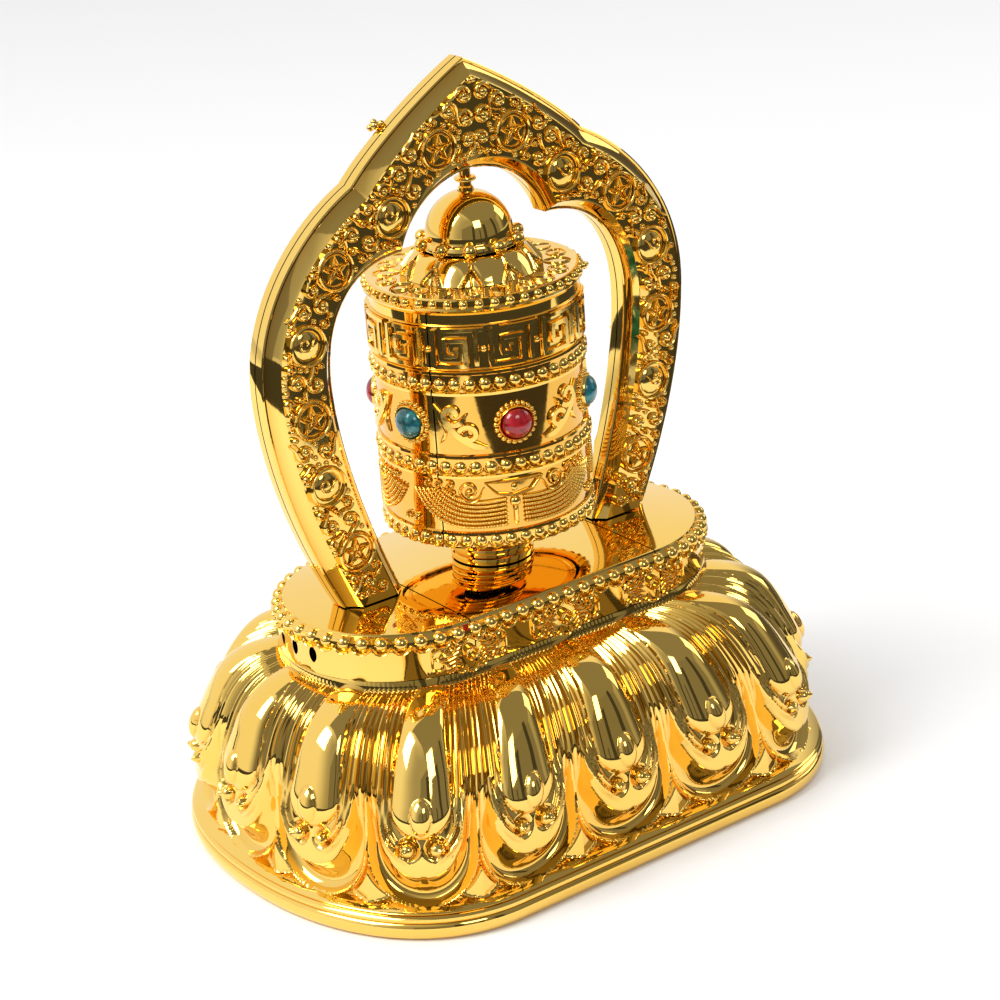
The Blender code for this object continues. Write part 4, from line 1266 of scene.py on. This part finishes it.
def star_collar():
    """Dish of ten fan petals with a forked ridge between each two."""
    low = bottom_of("star_collar")
    high = top_of("star_collar")
    columns = COLLAR_POINTS * COLLAR_COLUMNS
    phase = (np.arange(columns) / COLLAR_COLUMNS + 0.5) % 1.0 - 0.5
    angle = 2.0 * math.pi * np.arange(columns) / columns
    rows = []
    fan = np.sqrt(np.clip(1.0 - (phase / 0.5) ** 2, 0.0, 1.0))
    for share in np.linspace(1.0, 0.0, 34):
        # A ridge runs out between two fans and forks half way.
        fork = 0.24 * np.clip(share - 0.45, 0.0, 1.0) / 0.55
        crease = ridge(np.abs(phase) - 0.5 + fork, 0.075)
        outline = 12.7 + 0.7 * fan + 0.6 * crease
        radius = 9.4 + (outline - 9.4) * share ** 0.85
        height = low - 0.25 + (high - low + 0.25) * (1.0 - share ** 1.3)
        rim = math.sin(math.pi * min(share * 1.15, 1.0) ** 0.8)
        height = height + (0.5 * fan - 0.3) * rim + 0.65 * crease * min(1.0, 3.0 * share) * (share < 0.99)
        rows.append(np.stack([radius * np.cos(angle), radius * np.sin(angle), height], -1))
    for radius, height in ((6.0, high), (6.0, high - 1.2), (8.4, high - 1.6), (10.4, low)):
        rows.append(np.stack([radius * np.cos(angle), radius * np.sin(angle), np.full(columns, height)], -1))
    shape = Shape()
    shape.add_rows(rows, ring=True)
    shape.make("star_collar_petals", GOLD, "drum", "gold", sharp=45.0, replaces=["star_collar"])


def drum_dome():
    """Ball cap on a ring of small beads."""
    low = bottom_of("drum_dome")
    inner = DOME_RADIUS - 1.4
    first = math.asin((low + 1.9 - DOME_CENTRE_Z) / DOME_RADIUS)
    last = math.acos(1.6 / DOME_RADIUS)
    profile = [(9.2, low), (9.45, low + 0.2), (9.5, low + 0.9), (9.2, low + 1.5), (8.6, low + 1.7)]
    for angle in np.linspace(first, last, 28):
        profile.append((DOME_RADIUS * math.cos(angle), DOME_CENTRE_Z + DOME_RADIUS * math.sin(angle)))
    for angle in np.linspace(math.acos(1.6 / inner), 0.0, 8):
        profile.append((inner * math.cos(angle), DOME_CENTRE_Z + inner * math.sin(angle)))
    profile.append((inner, low))
    shape = Shape()
    add_turned(shape, profile, 96)
    add_ball_ring(shape, COLLAR_POINTS, 9.5, low + 1.0, 1.45, 0.5)
    shape.make("drum_dome_cap", GOLD, "drum", "gold", replaces=["drum_dome"])


def stones():
    """Smooth domed stones in place of the plain CAD ones."""
    back = DRUM_RADIUS + 0.35
    for index in range(3):
        for kind, finish, offset in (("coral", CORAL, 0.0), ("turquoise", TURQUOISE, 60.0)):
            shape = Shape()
            angle = math.radians(FIRST_STONE_ANGLE + offset + 120.0 * index)
            rows = []
            for share in np.sin(np.linspace(0.0, math.pi / 2.0 * 0.97, 14)):
                radius = STONE_RADIUS * math.sqrt(max(1.0 - share ** 2.2, 0.0))
                turns = np.linspace(0.0, 2.0 * math.pi, 40, endpoint=False)
                out = back + STONE_HEIGHT * share
                side = radius * np.cos(turns)
                x = out * math.cos(angle) - side * math.sin(angle)
                y = out * math.sin(angle) + side * math.cos(angle)
                rows.append(np.stack([x, y, STONE_Z + radius * np.sin(turns)], -1))
            shape.add_rows(rows)
            name = "%s_stone_%d" % (kind, index + 1)
            shape.make(name + "_polished", finish, "drum", kind, sharp=60.0, replaces=[name])


def spindle():
    """Plain axle with a turned finial above the dome."""
    low = bottom_of("spindle")
    high = top_of("spindle")
    profile = [
        (0.0, low), (1.3, low), (1.5, low + 0.2), (1.5, 126.2), (1.3, 126.3), (1.15, 126.5), (1.1, 127.2),
        (1.5, 127.4), (2.0, 127.5), (2.1, 127.7), (2.1, 128.0), (2.0, 128.2), (1.3, 128.3), (1.1, 128.5),
        (1.1, high - 0.2), (0.9, high), (0.0, high),
    ]
    shape = Shape()
    rows = turned_rows(profile[1:-1], 48)
    shape.add_rows(np.transpose(rows, (1, 0, 2)))
    shape.make("spindle_axle", GOLD, "drum", "steel", replaces=["spindle"])


def neck_collar():
    """Ribbed tube under the drum."""
    low = bottom_of("neck_collar")
    high = top_of("neck_collar")
    ribs = 4
    pitch = (high - low) / ribs
    profile = [(BORE_RADIUS, low), (NECK_RADIUS, low)]
    for rib in range(ribs):
        base = low + pitch * rib
        for rise, out in ((0.12, 0.0), (0.4, 0.12), (0.62, 0.0), (0.74, -0.55), (0.95, -0.6)):
            profile.append((NECK_RADIUS + out, base + rise * pitch))
    profile += [(NECK_RADIUS - 0.6, high), (BORE_RADIUS, high)]
    shape = Shape()
    add_turned(shape, profile, 96)
    shape.make("neck_collar_ribs", GOLD, "root", "gold", replaces=["neck_collar"])


# Mould nubs ---------------------------------------------------------------------------------------

def mould_nubs():
    """Small leftover sprues: one on the arch's left slope and one on the lid's edge."""
    shape = Shape()
    lumps = ((0.0, 2.5, 0.5, 0.9), (0.9, 1.7, 0.3, 0.6), (-0.7, 3.4, 0.4, 0.7), (0.2, 2.6, 1.2, 0.6))
    for along, deep, out, size in lumps:
        x = NUB_X + 0.82 * along - 0.57 * out
        z = NUB_Z + 0.57 * along + 0.82 * out
        add_ball(shape, (x, deep, z), size)
    shape.make("arch_mould_nub", GOLD_RELIEF, "root", "gold")
    shape = Shape()
    angle = math.radians(LID_NUB_ANGLE)
    for out, rise, size in ((0.2, -1.0, 0.8), (0.8, -0.7, 0.45)):
        reach = LID_RADIUS + out
        add_ball(shape, (reach * math.cos(angle), reach * math.sin(angle), LID_TOP + rise), size)
    shape.make("lid_mould_nub", GOLD_RELIEF, "drum", "gold")


# Underside ----------------------------------------------------------------------------------------

def base_screws():
    """Pan heads with a tapered cross recess, on ringed shanks."""
    for number, (x, y) in enumerate(base_screw_places(), 1):
        name = "base_screw_%d" % number
        low = bottom_of(name)
        profile = [(1.9, low), (2.3, low + 0.12), (2.52, low + 0.35), (SCREW_HEAD_RADIUS, low + 0.8),
                   (1.3, low + 0.8)]
        for turn in range(8):
            profile += [(1.05, low + 1.2 + turn), (1.3, low + 1.6 + turn)]
        profile += [(0.3, top_of(name))]
        shape = Shape()
        rows = turned_rows(profile, 40, centre=(x, y))
        shape.add_rows(np.transpose(rows, (1, 0, 2)))
        item = shape.make(name + "_pan_head", STEEL, "root", "steel", replaces=[name])
        arm, half = 1.45, 0.36
        plus = [(half, half), (half, arm), (-half, arm), (-half, half), (-arm, half), (-arm, -half),
                (-half, -half), (-half, -arm), (half, -arm), (half, -half), (arm, -half), (arm, half)]
        recess = Shape()
        recess.add_rows([[(x + a * scale, y + b * scale, z) for a, b in plus]
                         for z, scale in ((low - 1.0, 1.0), (low, 1.0), (low + 1.3, 0.35))])
        cut(item, [recess.make("cross_recess", STEEL, "root", "steel")])


# Studio -------------------------------------------------------------------------------------------

def studio_material(name, colour, emission=0.0):
    made = bpy.data.materials.new(name)
    made.use_nodes = True
    shader = made.node_tree.nodes["Principled BSDF"]
    shader.inputs["Base Color"].default_value = (*colour, 1.0)
    shader.inputs["Roughness"].default_value = 0.9
    shader.inputs["Specular IOR Level"].default_value = 0.0
    if emission:
        shader.inputs["Emission Color"].default_value = (*colour, 1.0)
        shader.inputs["Emission Strength"].default_value = emission
    return made


def plane(name, corners, finish):
    mesh = bpy.data.meshes.new(name)
    mesh.from_pydata(corners, [], [(0, 1, 2, 3)])
    mesh.materials.append(finish)
    item = bpy.data.objects.new(name, mesh)
    bpy.context.scene.collection.objects.link(item)
    item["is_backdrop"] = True
    return item


def reflection_card(name, corners, level):
    """Card that shows only in reflections."""
    finish = studio_material(name, (1.0, 1.0, 1.0) if level else (0.0, 0.0, 0.0), level)
    if level:
        finish.node_tree.nodes["Principled BSDF"].inputs["Base Color"].default_value = (0.0, 0.0, 0.0, 1.0)
    item = plane(name, corners, finish)
    item.visible_camera = False
    item.visible_diffuse = False
    item.visible_shadow = False
    item.visible_transmission = False


def floor():
    size = 12.0
    corners = [(-size, -size, 0.0), (size, -size, 0.0), (size, size, 0.0), (-size, size, 0.0)]
    plane("studio_floor", corners, studio_material("studio_white", (0.92, 0.92, 0.92)))


def area_light(name, place, size, power):
    """Square light aimed at the middle of the drum's stand."""
    data = bpy.data.lights.new(name, "AREA")
    data.size = size
    data.energy = power
    item = bpy.data.objects.new(name, data)
    item.location = place
    item.rotation_euler = (Vector((0.0, 0.0, 0.06)) - Vector(place)).to_track_quat("-Z", "Y").to_euler()
    bpy.context.scene.collection.objects.link(item)
    return item


def map_range(tree, source, first, last, low, high, kind="LINEAR"):
    node = tree.nodes.new("ShaderNodeMapRange")
    for socket, value in (("From Min", first), ("From Max", last), ("To Min", low), ("To Max", high)):
        node.inputs[socket].default_value = value
    node.interpolation_type = kind
    tree.links.new(source, node.inputs["Value"])
    return node.outputs["Result"]


def pick(tree, operation, first, second):
    node = tree.nodes.new("ShaderNodeMath")
    node.operation = operation
    tree.links.new(first, node.inputs[0])
    tree.links.new(second, node.inputs[1])
    return node.outputs["Value"]


def world():
    """White surround that is dimmer overhead and dark low down in front."""
    made = bpy.data.worlds.new("studio_world")
    bpy.context.scene.world = made
    made.use_nodes = True
    tree = made.node_tree
    split = tree.nodes.new("ShaderNodeSeparateXYZ")
    tree.links.new(tree.nodes.new("ShaderNodeTexCoord").outputs["Generated"], split.inputs["Vector"])
    front = map_range(tree, split.outputs["Y"], -0.55, 0.15, 0.40, 1.0, "SMOOTHSTEP")
    right = map_range(tree, split.outputs["X"], 0.97, 0.70, 0.10, 1.0, "SMOOTHSTEP")
    above = map_range(tree, split.outputs["Z"], 0.45, 0.9, 0.0, 0.75)
    level = pick(tree, "MAXIMUM", pick(tree, "MINIMUM", front, right), above)
    tree.links.new(level, tree.nodes["Background"].inputs["Strength"])
    tree.nodes["Background"].inputs["Color"].default_value = (1.0, 1.0, 1.0, 1.0)


def studio():
    """Floor, surround, three soft lights, and dark or dim cards for the gold to reflect."""
    floor()
    world()
    area_light("key_light", (-0.75, 0.10, 0.85), 0.55, 8.0)
    area_light("front_fill", (-0.15, -0.95, 0.75), 0.35, 2.0)
    area_light("right_fill", (0.95, -0.10, 0.50), 0.40, 1.0)
    dark = 0.06
    reach = 2.2
    flat_card("dark_table_front", (-reach, reach), (-reach, -0.20), 0.001, dark)
    flat_card("dark_table_right", (0.30, reach), (-0.20, 0.35), 0.001, dark)
    flat_card("dark_table_left", (-reach, -0.24), (-0.20, 0.60), 0.001, dark)
    flat_card("dim_ceiling", (-0.55, reach), (-reach, 0.30), 1.3, 0.27)
    upright_card("dim_room_front", (-reach, -1.6), (reach, -1.6), 1.3, 0.23)
    stands = (
        ("left", (-0.52, -1.05), (-0.40, -1.10), 0.75), ("right", (0.10, -1.25), (0.26, -1.22), 0.80),
        ("far_right", (0.70, -1.00), (0.84, -0.92), 0.90), ("middle", (-0.16, -1.30), (-0.10, -1.30), 0.55),
    )
    for side, first, last, height in stands:
        upright_card("dark_stand_" + side, first, last, height, dark)


def flat_card(name, x, y, height, level):
    corners = [(x[0], y[0], height), (x[1], y[0], height), (x[1], y[1], height), (x[0], y[1], height)]
    reflection_card(name, corners, level)


def upright_card(name, first, last, height, level):
    corners = [(*first, 0.0), (*last, 0.0), (*last, height), (*first, height)]
    reflection_card(name, corners, level)


def camera():
    """Three-quarter view from the front left, a little above, slightly rolled."""
    azimuth = math.radians(-34.0)
    rise = math.radians(22.07)
    roll = math.radians(-4.74)
    ahead = Vector((-math.sin(azimuth) * math.cos(rise), math.cos(azimuth) * math.cos(rise), -math.sin(rise)))
    right = Vector((math.cos(azimuth), math.sin(azimuth), 0.0))
    up = right.cross(ahead)
    axis_x = right * math.cos(roll) + up * math.sin(roll)
    axis_y = up * math.cos(roll) - right * math.sin(roll)
    data = bpy.data.cameras.new("camera")
    data.sensor_width = 36.0
    data.lens = 95.78
    data.shift_x = 0.0635
    data.shift_y = 0.0074
    item = bpy.data.objects.new("camera", data)
    matrix = Matrix((axis_x, axis_y, -ahead)).transposed().to_4x4()
    matrix.translation = Vector((-0.28124, -0.39828, 0.25922))
    item.matrix_world = matrix
    bpy.context.scene.collection.objects.link(item)
    bpy.context.scene.camera = item
    bpy.context.scene.view_settings.view_transform = "Standard"


def build():
    dress_cad_nodes()
    camera()
    studio()
    foot_tray()
    lotus_base()
    pedestal_middle()
    left = pedestal_end("pedestal_end_left", -1)
    cut(left, vent_cutters())
    pedestal_end("pedestal_end_right", 1)
    pedestal_trim()
    arch_half("arch_front_shell", "arch_front", -1.0)
    arch_half("arch_rear_shell", "arch_rear", 1.0)
    drum_shells()
    drum_ornament()
    drum_lid()
    star_collar()
    drum_dome()
    stones()
    spindle()
    neck_collar()
    drum_floor()
    bevelled_ring("thrust_washer", STEEL, "steel", 1.6)
    mould_nubs()
    base_screws()
    scent_hatch()


build()

boxes = {"cad": CAD_BOX, "visual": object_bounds()}
{name: [[float(v) for v in corner] for corner in box] for name, box in boxes.items()}
